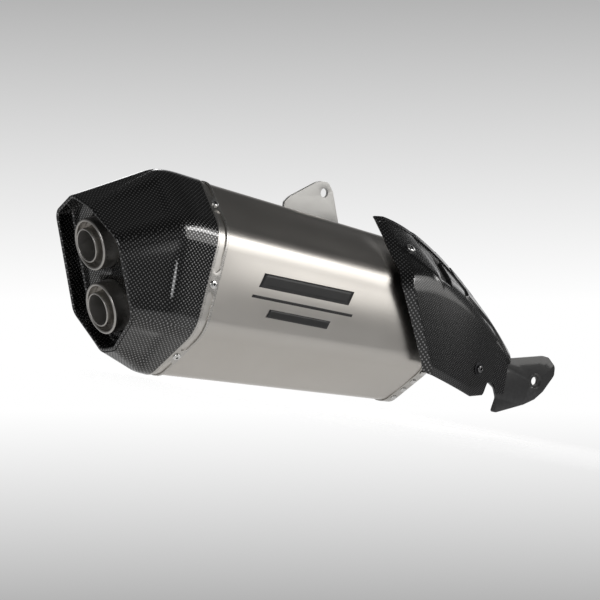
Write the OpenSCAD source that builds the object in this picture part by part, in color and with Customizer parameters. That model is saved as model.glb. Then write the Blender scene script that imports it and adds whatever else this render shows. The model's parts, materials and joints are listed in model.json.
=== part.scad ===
// Oval-hexagon motorcycle slip-on silencer with a carbon end cap and heat shield.
// Origin: centre of the inlet socket mouth. +X runs out of the socket towards the
// engine, -X is the outlet end, -Y is the outboard side, +Z is up. Millimetres.

/* [Sleeve] */
// Length of the sleeve along its axis
sleeve_l = 274; // [250:1:300]
// Height of the sleeve section at the outlet end
sleeve_h = 176; // [164:1:190]
// Height of the sleeve section at the inlet end
inlet_h = 152; // [144:1:160]
// Width of the sleeve
sleeve_w = 116; // [108:1:128]
// Height of the flat side panel of the sleeve
side_flat_h = 88; // [78:1:98]
// Thickness of the titanium sheet
sheet_t = 1.2; // [1.0:0.1:2.0]

/* [End cap] */
// Distance from the outlet cut to the centre of the slanted rear rim
cap_l = 81; // [76:1:96]
// Lean of the rear rim, forward at the bottom
rim_lean = 23.7; // [18:0.1:27]
// Length of the full-section collar behind the band
collar_l = 25; // [22:1:29]
// Thickness of the carbon laminate
laminate_t = 2.4; // [2.0:0.1:3.2]
// Depth of the outlet panel inside the rim
recess_d = 16; // [12:0.5:20]

/* [Outlets] */
// Outside diameter of the outlet rings
ring_d = 46; // [40:0.5:48]
// Distance between the two outlet centres
outlet_pitch = 57; // [54:0.5:62]
// Bore of the noise insert
insert_bore = 27; // [20:0.5:30]
// Length of the noise insert tube
insert_l = 62; // [45:1:70]

/* [Bands] */
// Width of the outlet band
band_w = 12; // [10:0.5:16]
// Thickness of the outlet band
band_t = 1.2; // [0.8:0.1:1.6]
// Width of the inlet band
inlet_band_w = 9; // [8:0.5:12]
// Diameter of the band screw shanks
screw_d = 4; // [3:0.5:5]
// Diameter of the rivet shanks
rivet_d = 3.2; // [2.4:0.1:4]

/* [Inlet] */
// Bore of the inlet socket
socket_bore = 51; // [45:0.5:54]
// Wall of the inlet pipe
pipe_t = 1.5; // [1.2:0.1:2.0]
// Distance from the inlet end of the sleeve to the socket mouth
neck_l = 81; // [76:1:92]
// Depth of the socket that takes the link pipe
socket_l = 45; // [35:1:55]

/* [Mounting tab] */
// Thickness of the mounting tab
tab_t = 3; // [2.5:0.5:4]
// Diameter of the hole in the mounting tab
tab_hole_d = 9; // [6.5:0.5:10.5]
// Height of the tab hole above the axis
tab_hole_z = 108; // [104:1:116]

/* [Heat shield] */
// Length of the heat shield along the axis
shield_l = 160; // [145:1:168]
// Distance of the shield face outboard of the axis
shield_out = 72; // [70:1:80]
// Thickness of the shield laminate
shield_t = 1.6; // [1.4:0.1:2.0]
// Length of the ear beyond the front of the shield
ear_l = 67; // [60:1:74]
// Diameter of the hole in the ear
ear_hole_d = 8.2; // [6.4:0.1:8.6]

/* [Fits] */
// Radial clearance of the sliding and turning fits
fit_gap = 0.06; // [0.03:0.01:0.1]

/* [Hidden] */

// Rounded outlines
corner_steps = 5;
lip_steps = 6;
seam = 0.02;
lay = 0.1;
slip = 0.25;
cut = 1;

// Sleeve
x_in = -neck_l;
x_out = x_in - sleeve_l;
slant_out = 0.08;
slant_in = -0.03;
half_w = sleeve_w / 2;
top_flat = 8;
side_r = 30;
top_r = 20;

// Corners of the tall hexagon with blunt top and bottom, at share u from the
// outlet cut (0) to the inlet cut (1)
function half_h(u) = (sleeve_h + (inlet_h - sleeve_h) * u) / 2;
function flat_z(u) = side_flat_h / 2 * half_h(u) * 2 / sleeve_h;
function hexagon(hw, hh, fz, ft) = [[hw, fz], [ft, hh], [-ft, hh], [-hw, fz],
    [-hw, -fz], [-ft, -hh], [ft, -hh], [hw, -fz]];
body_radii = [side_r, top_r, top_r, side_r, side_r, top_r, top_r, side_r];

function unit(v) = v / norm(v);
function at(list, i) = list[(i + len(list)) % len(list)];

// Outline moved inwards by d, edges kept parallel
function inset(v, d) = [for (i = [0:len(v) - 1])
    let (a = unit(at(v, i - 1) - v[i]), b = unit(at(v, i + 1) - v[i]))
    let (half = acos(a * b) / 2)
    v[i] + unit(a + b) * d / sin(half)];

// Outline with every corner rounded
function rounded(v, r) = [for (i = [0:len(v) - 1])
    let (a = unit(at(v, i - 1) - v[i]), b = unit(at(v, i + 1) - v[i]))
    let (half = acos(a * b) / 2, turn = 180 - 2 * half)
    let (c = v[i] + unit(a + b) * r[i] / sin(half))
    let (p = v[i] + a * r[i] / tan(half) - c, q = v[i] + b * r[i] / tan(half) - c)
    for (k = [0:corner_steps])
        let (s = k / corner_steps)
        c + (sin((1 - s) * turn) * p + sin(s * turn) * q) / sin(turn)];

function radii_in(r, d) = [for (x = r) max(x - d, 1)];
function place(pts, x, slant) = [for (p = pts) [x + slant * p[1], p[0], p[1]]];
function mix(a, b, s) = a + (b - a) * s;
function mix_ring(a, b, s) = [for (i = [0:len(a) - 1]) a[i] + (b[i] - a[i]) * s];

// Ring on the sleeve surface at share u, moved inwards by d
function sleeve_ring(u, d) = place(
    rounded(inset(hexagon(half_w, half_h(u), flat_z(u), top_flat), d),
        radii_in(body_radii, d)),
    mix(x_out, x_in, u), mix(slant_out, slant_in, u));
function share(x) = (x - x_out) / sleeve_l;

// End cap: full collar, then a taper to the leaning rim
rim_slant = -tan(rim_lean);
x_rim = x_out - cap_l;
rim_axis = [-cos(rim_lean), 0, -sin(rim_lean)];
rim_up = [-sin(rim_lean), 0, cos(rim_lean)];
w_k = half_w / 58;
h_k = sleeve_h / 176;
rim_corners = [[50 * w_k, 37 * h_k], [17 * w_k, 53 * h_k], [-9 * w_k, 45 * h_k],
    [-46 * w_k, 20 * h_k], [-48 * w_k, -44 * h_k], [-9 * w_k, -73 * h_k],
    [14 * w_k, -77 * h_k], [50 * w_k, -47 * h_k]];
rim_radii = [11, 11, 14, 16, 16, 12, 11, 11];
collar_swell = 2;
collar_lift = 1.5;
collar_slant = -0.09;
collar_corners = [for (p = hexagon(half_w + collar_swell, sleeve_h / 2 + collar_swell,
    side_flat_h / 2 + 1, top_flat)) p + [0, collar_lift]];
shoulder_share = 0.15;
shoulder_in = 1.5;

function cap_border(d) = sleeve_ring(0, d - band_t - lay);
function cap_collar(d) = place(rounded(inset(collar_corners, d),
    radii_in(body_radii, d)), x_out - collar_l, collar_slant);
function cap_rim(d, out) = [for (p = place(rounded(inset(rim_corners, d),
    radii_in(rim_radii, d)), x_rim, rim_slant)) p + out * rim_axis];
function cap_shoulder(d) = mix_ring(cap_collar(d + shoulder_in), cap_rim(d, 0),
    shoulder_share);
panel_back = recess_d + laminate_t;

// Outlets, on an axis square to the rim
outlet_y = 2;
outlet_mid = -15;
ring_wall = 3;
neck_wall = 1.8;
ring_neck = panel_back + 2;
ring_back = 46;
floor_d = 8;
flange_t = 2;
insert_proud = 3;
insert_t = 1.6;
seat_r = ring_d / 2 - ring_wall;
neck_r = seat_r - neck_wall;
insert_r = insert_bore / 2 + insert_t;
insert_screw_r = (seat_r + insert_r) / 2;
insert_screw_a = 229;
insert_screw_d = 3;
insert_screw_l = 9;
insert_head_d = 4.4;
insert_head_h = 1.6;
land_gap = 0.5;
land_l = 9;

// Carrier ring between the cap and the sleeve
carrier_t = 1.5;
carrier_clear = 17;
carrier_back = collar_l - carrier_clear;
carrier_front = 16;

// Inside the can
pipe_od = socket_bore + 2 * pipe_t;
core_t = 1.2;
core_back = x_out + 6;
core_front = x_in - 14;
bulkhead_t = 1.5;
bulkhead_x = x_out + 10;
hole_rows = 9;
hole_d = 7;
holes_round = 8;
wool_gap = 0.3;
box_in = 12;
box_t = 1.2;
box_gap = 4;
pan_t = 1.5;
pan_skirt = 12;
pan_out = 3;
pan_dome = 14;
pan_in = 24;

// Band windows and screws
window_edge = 2.5;
screw_share = 0.54;
screw_head_d = 7.5;
screw_head_h = 2;
screw_l = 6.5;
mid_screw_z = -2;
node_half = 8;

// Rivets
rivet_head_d = 6;
rivet_head_h = 1.4;
rivet_tail = 4.2;

// Inlet
slit_w = 2.5;
slit_l = 24;
stop_step = 1.5;
clamp_w = 10;
clamp_t = 1.6;
clamp_x = -12;
clamp_turn = -135;
lug_gap = 6;
lug_h = 14;
lug_t = 3;
clamp_bolt_d = 5;
clamp_bolt_l = 22;
clamp_head_d = 8.5;
clamp_head_h = 5;
clamp_nut_w = 8;
clamp_nut_h = 4;
clamp_bolt_r = pipe_od / 2 + clamp_t + 7;

// Tab
tab_y = 30;
tab_x = x_in - 98;
foot_t = 2;
foot_l = 84;
tab_rivet_dx = 34;
chamfer_y = 13;
chamfer_w = 34;

// Shield
shield_rear = x_in - 62;
rolled = 0.069;
rolled_in = 4.5;
rear_lean = 0.6;
rear_lean_z = 32;
shield_top = inlet_h / 2 + 14;
shield_drop = 102;
shield_rows = 24;
corner_run = 14;
top_run = 9;
upper_bolt_s = 0.15;
upper_bolt_q = 8;
lower_bolt_s = 0.645;
lower_bolt_q = 1.55;
shield_screw_d = 5;
shield_head_d = 9.5;
shield_head_h = 2.8;
washer_d = 13;
washer_t = 1;
standoff_d = 12;
stay_w = 10;
stay_t = 2;
ear_t = 2.4;
ear_in = 0.05;

// Centre, outward direction and holes of the outlet band screws and the rivets
function chamfer_point(u, s, sy, sz) =
    [sy * mix(half_w, top_flat, s), sz * mix(flat_z(u), half_h(u), s)];
function chamfer_out(u, sy, sz) = let (k = (sleeve_h - inlet_h) / 2 / sleeve_l)
    unit([k * 0.75 * (half_w - top_flat), sy * (half_h(u) - flat_z(u)),
        sz * (half_w - top_flat)]);
function on_body(u, p) =
    [mix(x_out, x_in, u) + mix(slant_out, slant_in, u) * p[1], p[0], p[1]];
band_u = band_w / 2 / sleeve_l;
band_spots = concat(
    [for (sy = [-1, 1]) for (sz = [-1, 1])
        [on_body(band_u, chamfer_point(band_u, screw_share, sy, sz)),
            chamfer_out(band_u, sy, sz)]],
    [for (sy = [-1, 1]) [on_body(band_u, [sy * half_w, mid_screw_z]), [0, sy, 0]]]);
rivet_u = 1 - inlet_band_w / 2 / sleeve_l;
rivet_spots = concat(
    [for (sy = [-1, 1]) for (sz = [-1, 1]) for (s = [0.14, 0.38, 0.62, 0.86])
        [on_body(rivet_u, chamfer_point(rivet_u, s, sy, sz)),
            chamfer_out(rivet_u, sy, sz)]],
    [for (sy = [-1, 1]) for (z = [-20, 0, 20])
        [on_body(rivet_u, [sy * half_w, z]), [0, sy, 0]]]);
tab_u = share(tab_x);
tab_spots = [for (dx = [-tab_rivet_dx, tab_rivet_dx]) for (s = [0.36, 0.84])
    let (u = share(tab_x + dx))
    [on_body(u, chamfer_point(u, s, 1, 1)), chamfer_out(u, 1, 1)]];

// Heat shield outline at share s from rear edge to front edge
function shield_zt(s) = shield_top - shield_drop * s * s
    - rolled_in / 2 * max(0, 1 - s / rolled);
function shield_yt(s) = -15 - 43 * pow(s, 2.2);
function shield_ys(s) = -shield_out + 12 * pow(min(1, s / 0.85), 2)
    + rolled_in * max(0, 1 - s / rolled);
function shield_zc(s) = shield_zt(s) - mix(50, 4, s);
function shield_zb(s) = -43 - 15 * min(1, s / 0.53) + 17 * max(0, s - 0.53);
function shield_x(s, z) = mix(shield_rear + rear_lean * max(0, rear_lean_z - z),
    shield_rear + shield_l, s);
function bend(a, b, c, t) = (1 - t) * (1 - t) * a + 2 * t * (1 - t) * b + t * t * c;
function shield_outline(s) =
    let (ys = shield_ys(s), yt = shield_yt(s), zc = shield_zc(s))
    let (b0 = [ys + 2 * (1 - s), shield_zb(s)], b1 = [ys, shield_zb(s) + 9])
    let (c = [ys, zc], t = [yt, shield_zt(s)], e = [yt + 6, shield_zt(s) + 2])
    let (rc = min(corner_run, 0.45 * norm(t - c), 0.45 * norm(c - b1)))
    let (rt = min(top_run, 0.45 * norm(t - c)))
    let (c1 = c + unit(b1 - c) * rc, c2 = c + unit(t - c) * rc)
    let (t1 = t + unit(c - t) * rt, t2 = t + unit(e - t) * rt)
    concat([b0, b1, (b1 + c1) / 2], [for (k = [0:4]) bend(c1, c, c2, k / 4)],
        [(c2 + t1) / 2], [for (k = [0:4]) bend(t1, t, t2, k / 4)], [e]);
function shield_row(s) = [for (p = shield_outline(s)) [shield_x(s, p[1]), p[0], p[1]]];
function shield_at(s, q) = let (r = shield_row(s), j = floor(q))
    mix(r[j], r[j + 1], q - j);
function shield_out_dir(s, q) = unit(cross(
    shield_at(s + 0.01, q) - shield_at(s - 0.01, q),
    shield_at(s, q + 0.1) - shield_at(s, q - 0.1)));
upper_p = shield_at(upper_bolt_s, upper_bolt_q + 0.01);
upper_n = shield_out_dir(upper_bolt_s, upper_bolt_q + 0.2);
lower_p = shield_at(lower_bolt_s, lower_bolt_q);
lower_n = shield_out_dir(lower_bolt_s, lower_bolt_q);
face_y = -shield_out + 12;
ear_y = face_y + shield_t + ear_in;
ear_x = shield_rear + shield_l;
ear_hole = [ear_x + ear_l - 25, -32];

// Closed solid through a list of matching rings, rear ring first
module loft(rings) {
    n = len(rings[0]);
    m = len(rings);
    points = [for (r = rings) for (p = r) p];
    sides = [for (i = [0:m - 2]) for (j = [0:n - 1])
        let (k = (j + 1) % n)
        for (f = [[i * n + j, (i + 1) * n + j, (i + 1) * n + k],
            [i * n + j, (i + 1) * n + k, i * n + k]]) f];
    rear = [[for (j = [0:n - 1]) j]];
    front = [[for (j = [n - 1:-1:0]) (m - 1) * n + j]];
    polyhedron(points, concat(sides, rear, front), convexity = 6);
}

// Turns a part built along +Z so that +Z follows direction v from point p
module along(p, v) {
    translate(p)
        rotate([0, acos(v[2] / norm(v)), atan2(v[1], v[0])])
            children();
}

// Puts a part built along +Z on the outlet axis; sign 1 is the upper outlet
module on_outlet(sign) {
    t = outlet_mid + sign * outlet_pitch / 2;
    p = [x_rim, outlet_y, 0] + t * rim_up;
    translate(p)
        rotate([0, -90 - rim_lean, 0])
            children();
}

module tube(d, bore, l) {
    difference() {
        cylinder(d = d, h = l);
        translate([0, 0, -cut])
            cylinder(d = bore, h = l + 2 * cut);
    }
}

// Solid inside the sleeve surface moved inwards by d, between two shares
module sleeve_solid(u0, u1, d) {
    loft([sleeve_ring(u0, d), sleeve_ring(u1, d)]);
}

// Button head with hexagon socket on top of +Z
module button(d, h, key) {
    difference() {
        union() {
            cylinder(d = d, h = h / 2);
            translate([0, 0, h / 2])
                cylinder(d1 = d, d2 = d * 0.62, h = h / 2);
        }
        translate([0, 0, h * 0.35])
            cylinder(d = key, h = h, $fn = 6);
    }
}

// Holes along the outward direction at every listed spot
module spot_holes(spots, d) {
    for (s = spots)
        along(s[0], s[1])
            translate([0, 0, -10])
                cylinder(d = d, h = 20);
}

module outer_sleeve() {
    color("silver")
        difference() {
            sleeve_solid(0, 1, 0);
            sleeve_solid(-0.01, 1.01, sheet_t);
            spot_holes(band_spots, screw_d);
            spot_holes(rivet_spots, rivet_d);
            spot_holes(tab_spots, rivet_d);
        }
}

module end_cap() {
    color("dimgray")
        difference() {
            loft([cap_rim(0, 0), cap_shoulder(0), cap_collar(0), cap_border(0)]);
            loft([cap_rim(laminate_t, -panel_back), cap_collar(laminate_t),
                sleeve_ring(-(carrier_back + 1) / sleeve_l, sheet_t),
                sleeve_ring(0.01, sheet_t)]);
            loft([cap_rim(laminate_t, cut), cap_rim(laminate_t, -recess_d)]);
            for (sign = [-1, 1])
                on_outlet(sign)
                    translate([0, 0, -panel_back - cut])
                        cylinder(d = ring_d + 2 * seam, h = recess_d);
        }
}

module cap_carrier_ring() {
    u0 = -carrier_back / sleeve_l;
    u1 = carrier_front / sleeve_l;
    d = sheet_t + slip;
    color("gray")
        difference() {
            sleeve_solid(u0, u1, d);
            sleeve_solid(u0 - 0.01, u1 + 0.01, d + carrier_t);
            spot_holes(band_spots, screw_d);
        }
}

// Window with pointed ends, seen along its cutting direction
module window(z0, z1) {
    x0 = x_out + window_edge;
    x1 = x_out + band_w - window_edge;
    xm = (x0 + x1) / 2;
    r = (x1 - x0) / 2;
    polygon([[xm + slant_out * z0, z0], [x1 + slant_out * z0, z0 + r],
        [x1 + slant_out * z1, z1 - r], [xm + slant_out * z1, z1],
        [x0 + slant_out * z1, z1 - r], [x0 + slant_out * z0, z0 + r]]);
}

module side_windows() {
    z_low = -chamfer_point(0, screw_share, 1, 1)[1] + node_half;
    for (side = [0, 1])
        mirror([0, side, 0])
            translate([0, -half_w + 24, 0])
                rotate([90, 0, 0])
                    linear_extrude(height = 50) {
                        window(mid_screw_z + node_half, -z_low);
                        window(z_low, mid_screw_z - node_half);
                    }
}

module end_windows() {
    y = mix(half_w, top_flat, screw_share) - node_half;
    x0 = x_out + window_edge;
    r = (band_w - 2 * window_edge) / 2;
    for (sz = [-1, 1])
        translate([x0 + r + sz * slant_out * (sleeve_h / 2 - 4), 0, sz * sleeve_h / 2])
            translate([0, 0, -15])
                linear_extrude(height = 30)
                    polygon([[0, -y], [r, -y + r], [r, y - r], [0, y], [-r, y - r],
                        [-r, -y + r]]);
}

module outlet_band() {
    u1 = band_w / sleeve_l;
    color("lightgray")
        difference() {
            sleeve_solid(lay / sleeve_l, u1, -lay - band_t);
            sleeve_solid(-0.01, u1 + 0.01, -lay);
            side_windows();
            end_windows();
            spot_holes(band_spots, screw_d);
        }
}

module outlet_band_screws() {
    color("white")
        for (s = band_spots)
            along(s[0], s[1]) {
                translate([0, 0, band_t + 2 * lay])
                    button(screw_head_d, screw_head_h, 2.5);
                translate([0, 0, band_t + 2 * lay - screw_l])
                    cylinder(d = screw_d - 2 * seam, h = screw_l);
            }
}

// Gas chamber inside the end cap, closed towards the outlets
module chamber_box() {
    back = -panel_back - box_gap;
    u = share(bulkhead_x) - 0.0005;
    color("gray")
        difference() {
            loft([cap_rim(box_in, back), cap_collar(box_in), sleeve_ring(u, box_in)]);
            loft([cap_rim(box_in + box_t, back - box_t), cap_collar(box_in + box_t),
                sleeve_ring(u + 0.01, box_in + box_t)]);
            for (sign = [-1, 1])
                on_outlet(sign)
                    translate([0, 0, -60])
                        cylinder(r = neck_r + neck_wall + seam, h = 50);
        }
}

module outlet_ring(sign) {
    seat = floor_d + flange_t;
    edge = ring_wall / 2;
    color("silver")
        on_outlet(sign)
            difference() {
                rotate_extrude()
                    polygon(concat([[neck_r, -ring_back],
                        [neck_r + neck_wall, -ring_back],
                        [neck_r + neck_wall, -ring_neck],
                        [ring_d / 2, -ring_neck]],
                        [for (k = [0:lip_steps]) [seat_r + edge, -edge]
                            + edge * [cos(180 * k / lip_steps),
                                sin(180 * k / lip_steps)]],
                        [[seat_r, -seat], [insert_r + land_gap, -seat],
                        [insert_r + land_gap, -seat - land_l],
                        [neck_r, -seat - land_l]]));
                insert_screw_hole(insert_screw_d + 2 * fit_gap);
            }
}

module insert_screw_hole(d) {
    rotate([0, 0, insert_screw_a])
        translate([insert_screw_r, 0, -floor_d - flange_t - land_l - cut])
            cylinder(d = d, h = land_l + flange_t + 2 * cut);
}

module noise_insert(sign) {
    color("gainsboro")
        on_outlet(sign)
            difference() {
                rotate_extrude()
                    polygon([[insert_bore / 2, -insert_l], [insert_r, -insert_l],
                        [insert_r, -floor_d - flange_t],
                        [seat_r - fit_gap, -floor_d - flange_t],
                        [seat_r - fit_gap, -floor_d], [insert_r, -floor_d],
                        [insert_r, insert_proud - insert_t / 2],
                        [insert_r - insert_t / 2, insert_proud],
                        [insert_bore / 2, insert_proud - insert_t / 2]]);
                insert_screw_hole(insert_screw_d + 2 * seam);
            }
}

module insert_screw(sign) {
    color("black")
        on_outlet(sign)
            rotate([0, 0, insert_screw_a])
                translate([insert_screw_r, 0, -floor_d]) {
                    translate([0, 0, seam])
                        button(insert_head_d, insert_head_h, 2);
                    translate([0, 0, -insert_screw_l])
                        cylinder(d = insert_screw_d, h = insert_screw_l + 2 * seam);
                }
}

module outlet_ring_upper() {
    outlet_ring(1);
}

module outlet_ring_lower() {
    outlet_ring(-1);
}

module noise_insert_upper() {
    noise_insert(1);
}

module noise_insert_lower() {
    noise_insert(-1);
}

module insert_screw_upper() {
    insert_screw(1);
}

module insert_screw_lower() {
    insert_screw(-1);
}

module outlet_bulkhead() {
    u0 = share(bulkhead_x);
    u1 = share(bulkhead_x + bulkhead_t);
    color("gray")
        difference() {
            sleeve_solid(u0, u1, sheet_t + carrier_t + 2 * slip);
            along([bulkhead_x - 10, 0, 0], [1, 0, 0])
                cylinder(d = pipe_od + 2 * seam, h = 30);
        }
}

module perforated_core() {
    l = core_front - core_back;
    color("lightgray")
        difference() {
            along([core_back, 0, 0], [1, 0, 0])
                tube(pipe_od, pipe_od - 2 * core_t, l);
            for (i = [1:hole_rows])
                for (k = [0:holes_round - 1])
                    translate([core_back + l * i / (hole_rows + 1), 0, 0])
                        rotate([(k + (i % 2) / 2 + 0.13) * 360 / holes_round, 0, 0])
                            translate([0, 0, pipe_od / 2 - 4])
                                cylinder(d = hole_d, h = 8);
        }
}

module packing_wool() {
    u0 = share(x_out + carrier_front + 1);
    u1 = share(x_in - pan_skirt - 1);
    color("khaki")
        difference() {
            sleeve_solid(u0, u1, sheet_t + wool_gap);
            along([x_out, 0, 0], [1, 0, 0])
                cylinder(d = pipe_od + 2 * wool_gap, h = sleeve_l);
            spot_holes(tab_spots, rivet_d + 2 * wool_gap);
        }
}

// Ring of the domed inlet cap, x given, moved inwards by d
function dome_ring(x, d) = place(rounded(hexagon(half_w - d, half_h(1) - d,
    flat_z(1) - d / 2, top_flat), radii_in(body_radii, d)), x, slant_in);

module inlet_cap() {
    d = sheet_t + slip;
    x0 = x_in - pan_skirt;
    color("lightgray")
        difference() {
            loft([sleeve_ring(share(x0), d), sleeve_ring(1, d), dome_ring(x_in + pan_out, d + 2),
                dome_ring(x_in + pan_dome, pan_in)]);
            loft([sleeve_ring(share(x0 - 1), d + pan_t), sleeve_ring(1, d + pan_t),
                dome_ring(x_in + pan_out - pan_t, d + 2 + pan_t),
                dome_ring(x_in + pan_dome - pan_t, pan_in + pan_t)]);
            along([x_in - 20, 0, 0], [1, 0, 0])
                cylinder(d = pipe_od + 2 * seam, h = 60);
            spot_holes(rivet_spots, rivet_d);
        }
}

module inlet_band() {
    u0 = 1 - inlet_band_w / sleeve_l;
    color("silver")
        difference() {
            sleeve_solid(u0, 1, -lay - band_t);
            sleeve_solid(u0 - 0.01, 1.01, -lay);
            spot_holes(rivet_spots, rivet_d);
        }
}

module rivet(grip) {
    translate([0, 0, grip]) {
        cylinder(d = rivet_head_d, h = rivet_head_h / 2);
        translate([0, 0, rivet_head_h / 2])
            cylinder(d1 = rivet_head_d, d2 = rivet_head_d * 0.55, h = rivet_head_h / 2);
    }
    translate([0, 0, -rivet_tail])
        cylinder(d = rivet_d - 2 * seam, h = rivet_tail + grip);
}

module inlet_band_rivets() {
    color("white")
        for (s = rivet_spots)
            along(s[0], s[1])
                rivet(band_t + 2 * lay);
}

module inlet_pipe() {
    color("silver")
        difference() {
            along([core_front, 0, 0], [1, 0, 0])
                tube(pipe_od, socket_bore - 2 * stop_step, -core_front);
            along([-socket_l, 0, 0], [1, 0, 0])
                cylinder(d = socket_bore, h = socket_l + cut);
            for (a = [45, 135])
                rotate([a, 0, 0])
                    translate([-slit_l, -slit_w / 2, -pipe_od])
                        cube([slit_l + cut, slit_w, 2 * pipe_od]);
        }
}

module at_clamp() {
    rotate([clamp_turn, 0, 0])
        translate([clamp_x, 0, 0])
            children();
}

module inlet_clamp() {
    r = pipe_od / 2 + fit_gap;
    half = lug_gap / 2;
    color("silver")
        at_clamp()
            difference() {
                union() {
                    along([0, 0, 0], [1, 0, 0])
                        cylinder(r = r + clamp_t, h = clamp_w);
                    translate([0, -half - lug_t, pipe_od / 2])
                        cube([clamp_w, lug_gap + 2 * lug_t, lug_h + clamp_t]);
                }
                along([-cut, 0, 0], [1, 0, 0])
                    cylinder(r = r, h = clamp_w + 2 * cut);
                translate([-cut, -half, pipe_od / 2 - 3])
                    cube([clamp_w + 2 * cut, lug_gap, lug_h + 10]);
                translate([clamp_w / 2, 0, clamp_bolt_r])
                    rotate([90, 0, 0])
                        translate([0, 0, -20])
                            cylinder(d = clamp_bolt_d + 2 * fit_gap, h = 40);
            }
}

module clamp_bolt() {
    half = lug_gap / 2 + lug_t;
    color("dimgray")
        at_clamp()
            translate([clamp_w / 2, -half - seam, clamp_bolt_r])
                rotate([90, 0, 0]) {
                    difference() {
                        cylinder(d = clamp_head_d, h = clamp_head_h);
                        translate([0, 0, clamp_head_h / 2])
                            cylinder(d = 4.6, h = clamp_head_h, $fn = 6);
                    }
                    translate([0, 0, -clamp_bolt_l])
                        cylinder(d = clamp_bolt_d, h = clamp_bolt_l + seam);
                }
}

module clamp_nut() {
    half = lug_gap / 2 + lug_t;
    color("dimgray")
        at_clamp()
            translate([clamp_w / 2, half + seam, clamp_bolt_r])
                rotate([-90, 0, 0])
                    difference() {
                        cylinder(d = clamp_nut_w / cos(30), h = clamp_nut_h, $fn = 6);
                        translate([0, 0, -cut])
                            cylinder(d = clamp_bolt_d + 2 * fit_gap, h = clamp_nut_h + 2 * cut);
                    }
}

module tab_bracket() {
    x0 = tab_x - foot_l / 2;
    x1 = tab_x + foot_l / 2;
    u0 = share(x0);
    u1 = share(x1);
    z = tab_hole_z;
    r = tab_hole_d / 2 + 6;
    color("silver")
        difference() {
            union() {
                intersection() {
                    sleeve_solid(u0, u1, -foot_t);
                    translate([x0 - 10, chamfer_y, 20])
                        cube([foot_l + 20, chamfer_w, 100]);
                }
                translate([0, tab_y + tab_t, 0])
                    rotate([90, 0, 0])
                        linear_extrude(height = tab_t)
                            polygon([[x0 + 3, 40], [x0 + 1, z - 19], [x0 + 6, z - 12],
                                [tab_x - 8, z + 8], [tab_x - 1, z + r], [tab_x + 7, z + r],
                                [tab_x + 14, z + 3], [x1 - 15, z - 24], [x1 - 12, 40]]);
            }
            sleeve_solid(u0 - 0.02, u1 + 0.02, -lay);
            translate([tab_x + 4, 0, z])
                rotate([-90, 0, 0])
                    cylinder(d = tab_hole_d, h = 60);
            spot_holes(tab_spots, rivet_d);
        }
}

module tab_rivets() {
    color("white")
        for (s = tab_spots)
            along(s[0], s[1])
                rivet(foot_t + 2 * lay);
}

// Thin shell through a grid of points, thickened inwards
module shell(rows, t) {
    m = len(rows);
    n = len(rows[0]);
    inner = [for (i = [0:m - 1]) for (j = [0:n - 1])
        let (a = rows[min(i + 1, m - 1)][j] - rows[max(i - 1, 0)][j])
        let (b = rows[i][min(j + 1, n - 1)] - rows[i][max(j - 1, 0)])
        rows[i][j] - t * unit(cross(a, b))];
    k = m * n;
    skin = [for (i = [0:m - 2]) for (j = [0:n - 2])
        let (a = i * n + j, b = a + 1, c = a + n + 1, d = a + n)
        for (f = [[a, b, c], [a, c, d], [k + a, k + c, k + b], [k + a, k + d, k + c]]) f];
    along_s = [for (i = [0:m - 2])
        let (a = i * n, d = a + n, b = a + n - 1, c = d + n - 1)
        for (f = [[a, d, k + d], [a, k + d, k + a], [c, b, k + b], [c, k + b, k + c]]) f];
    along_v = [for (j = [0:n - 2])
        let (a = j, b = j + 1, c = (m - 1) * n + j, d = c + 1)
        for (f = [[b, a, k + a], [b, k + a, k + b], [c, d, k + d], [c, k + d, k + c]]) f];
    polyhedron(concat([for (r = rows) for (p = r) p], inner),
        concat(skin, along_s, along_v), convexity = 8);
}

shield_shares = concat([0, rolled / 2, rolled],
    [for (i = [1:shield_rows]) rolled + (1 - rolled) * i / shield_rows]);

module heat_shield() {
    x = ear_x;
    color("dimgray")
        difference() {
            shell([for (s = shield_shares) shield_row(s)], shield_t);
            translate([0, face_y + 20, 0])
                rotate([90, 0, 0])
                    linear_extrude(height = 40)
                        polygon([[x - 47, -80], [x - 45, -54], [x - 34, -42],
                            [x - 21, -42], [x - 11, -51], [x - 9, -80]]);
            for (b = [[upper_p, upper_n], [lower_p, lower_n]])
                along(b[0], b[1])
                    translate([0, 0, -10])
                        cylinder(d = shield_screw_d + 0.4, h = 20);
        }
}

module shield_ear() {
    x = ear_x;
    e = x + ear_l;
    color("black")
        difference() {
            translate([0, ear_y + ear_t, 0])
                rotate([90, 0, 0])
                    linear_extrude(height = ear_t)
                        polygon([[x - 24, -36], [x - 1, -25], [x + 1.5, -15], [e - 20, -6],
                            [e - 14, -7], [e - 4, -13], [e, -20], [e - 2, -27],
                            [e - 14, -42], [e - 22, -50], [e - 36, -57], [x - 4, -69],
                            [x - 10, -69], [x - 7, -55], [x - 12, -46], [x - 24, -40]]);
            translate([ear_hole[0], ear_y - 10, ear_hole[1]])
                rotate([-90, 0, 0])
                    cylinder(d = ear_hole_d, h = 30);
        }
}

// Weld-on bush under the upper shield bolt
module upper_standoff() {
    color("silver")
        difference() {
            along(upper_p, upper_n)
                translate([0, 0, -30])
                    cylinder(d = standoff_d, h = 30 - shield_t - 3 * lay);
            sleeve_solid(0.3, 1, -lay);
            along(upper_p, upper_n)
                translate([0, 0, -12])
                    cylinder(d = shield_screw_d + 2 * seam, h = 30);
        }
}

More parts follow.
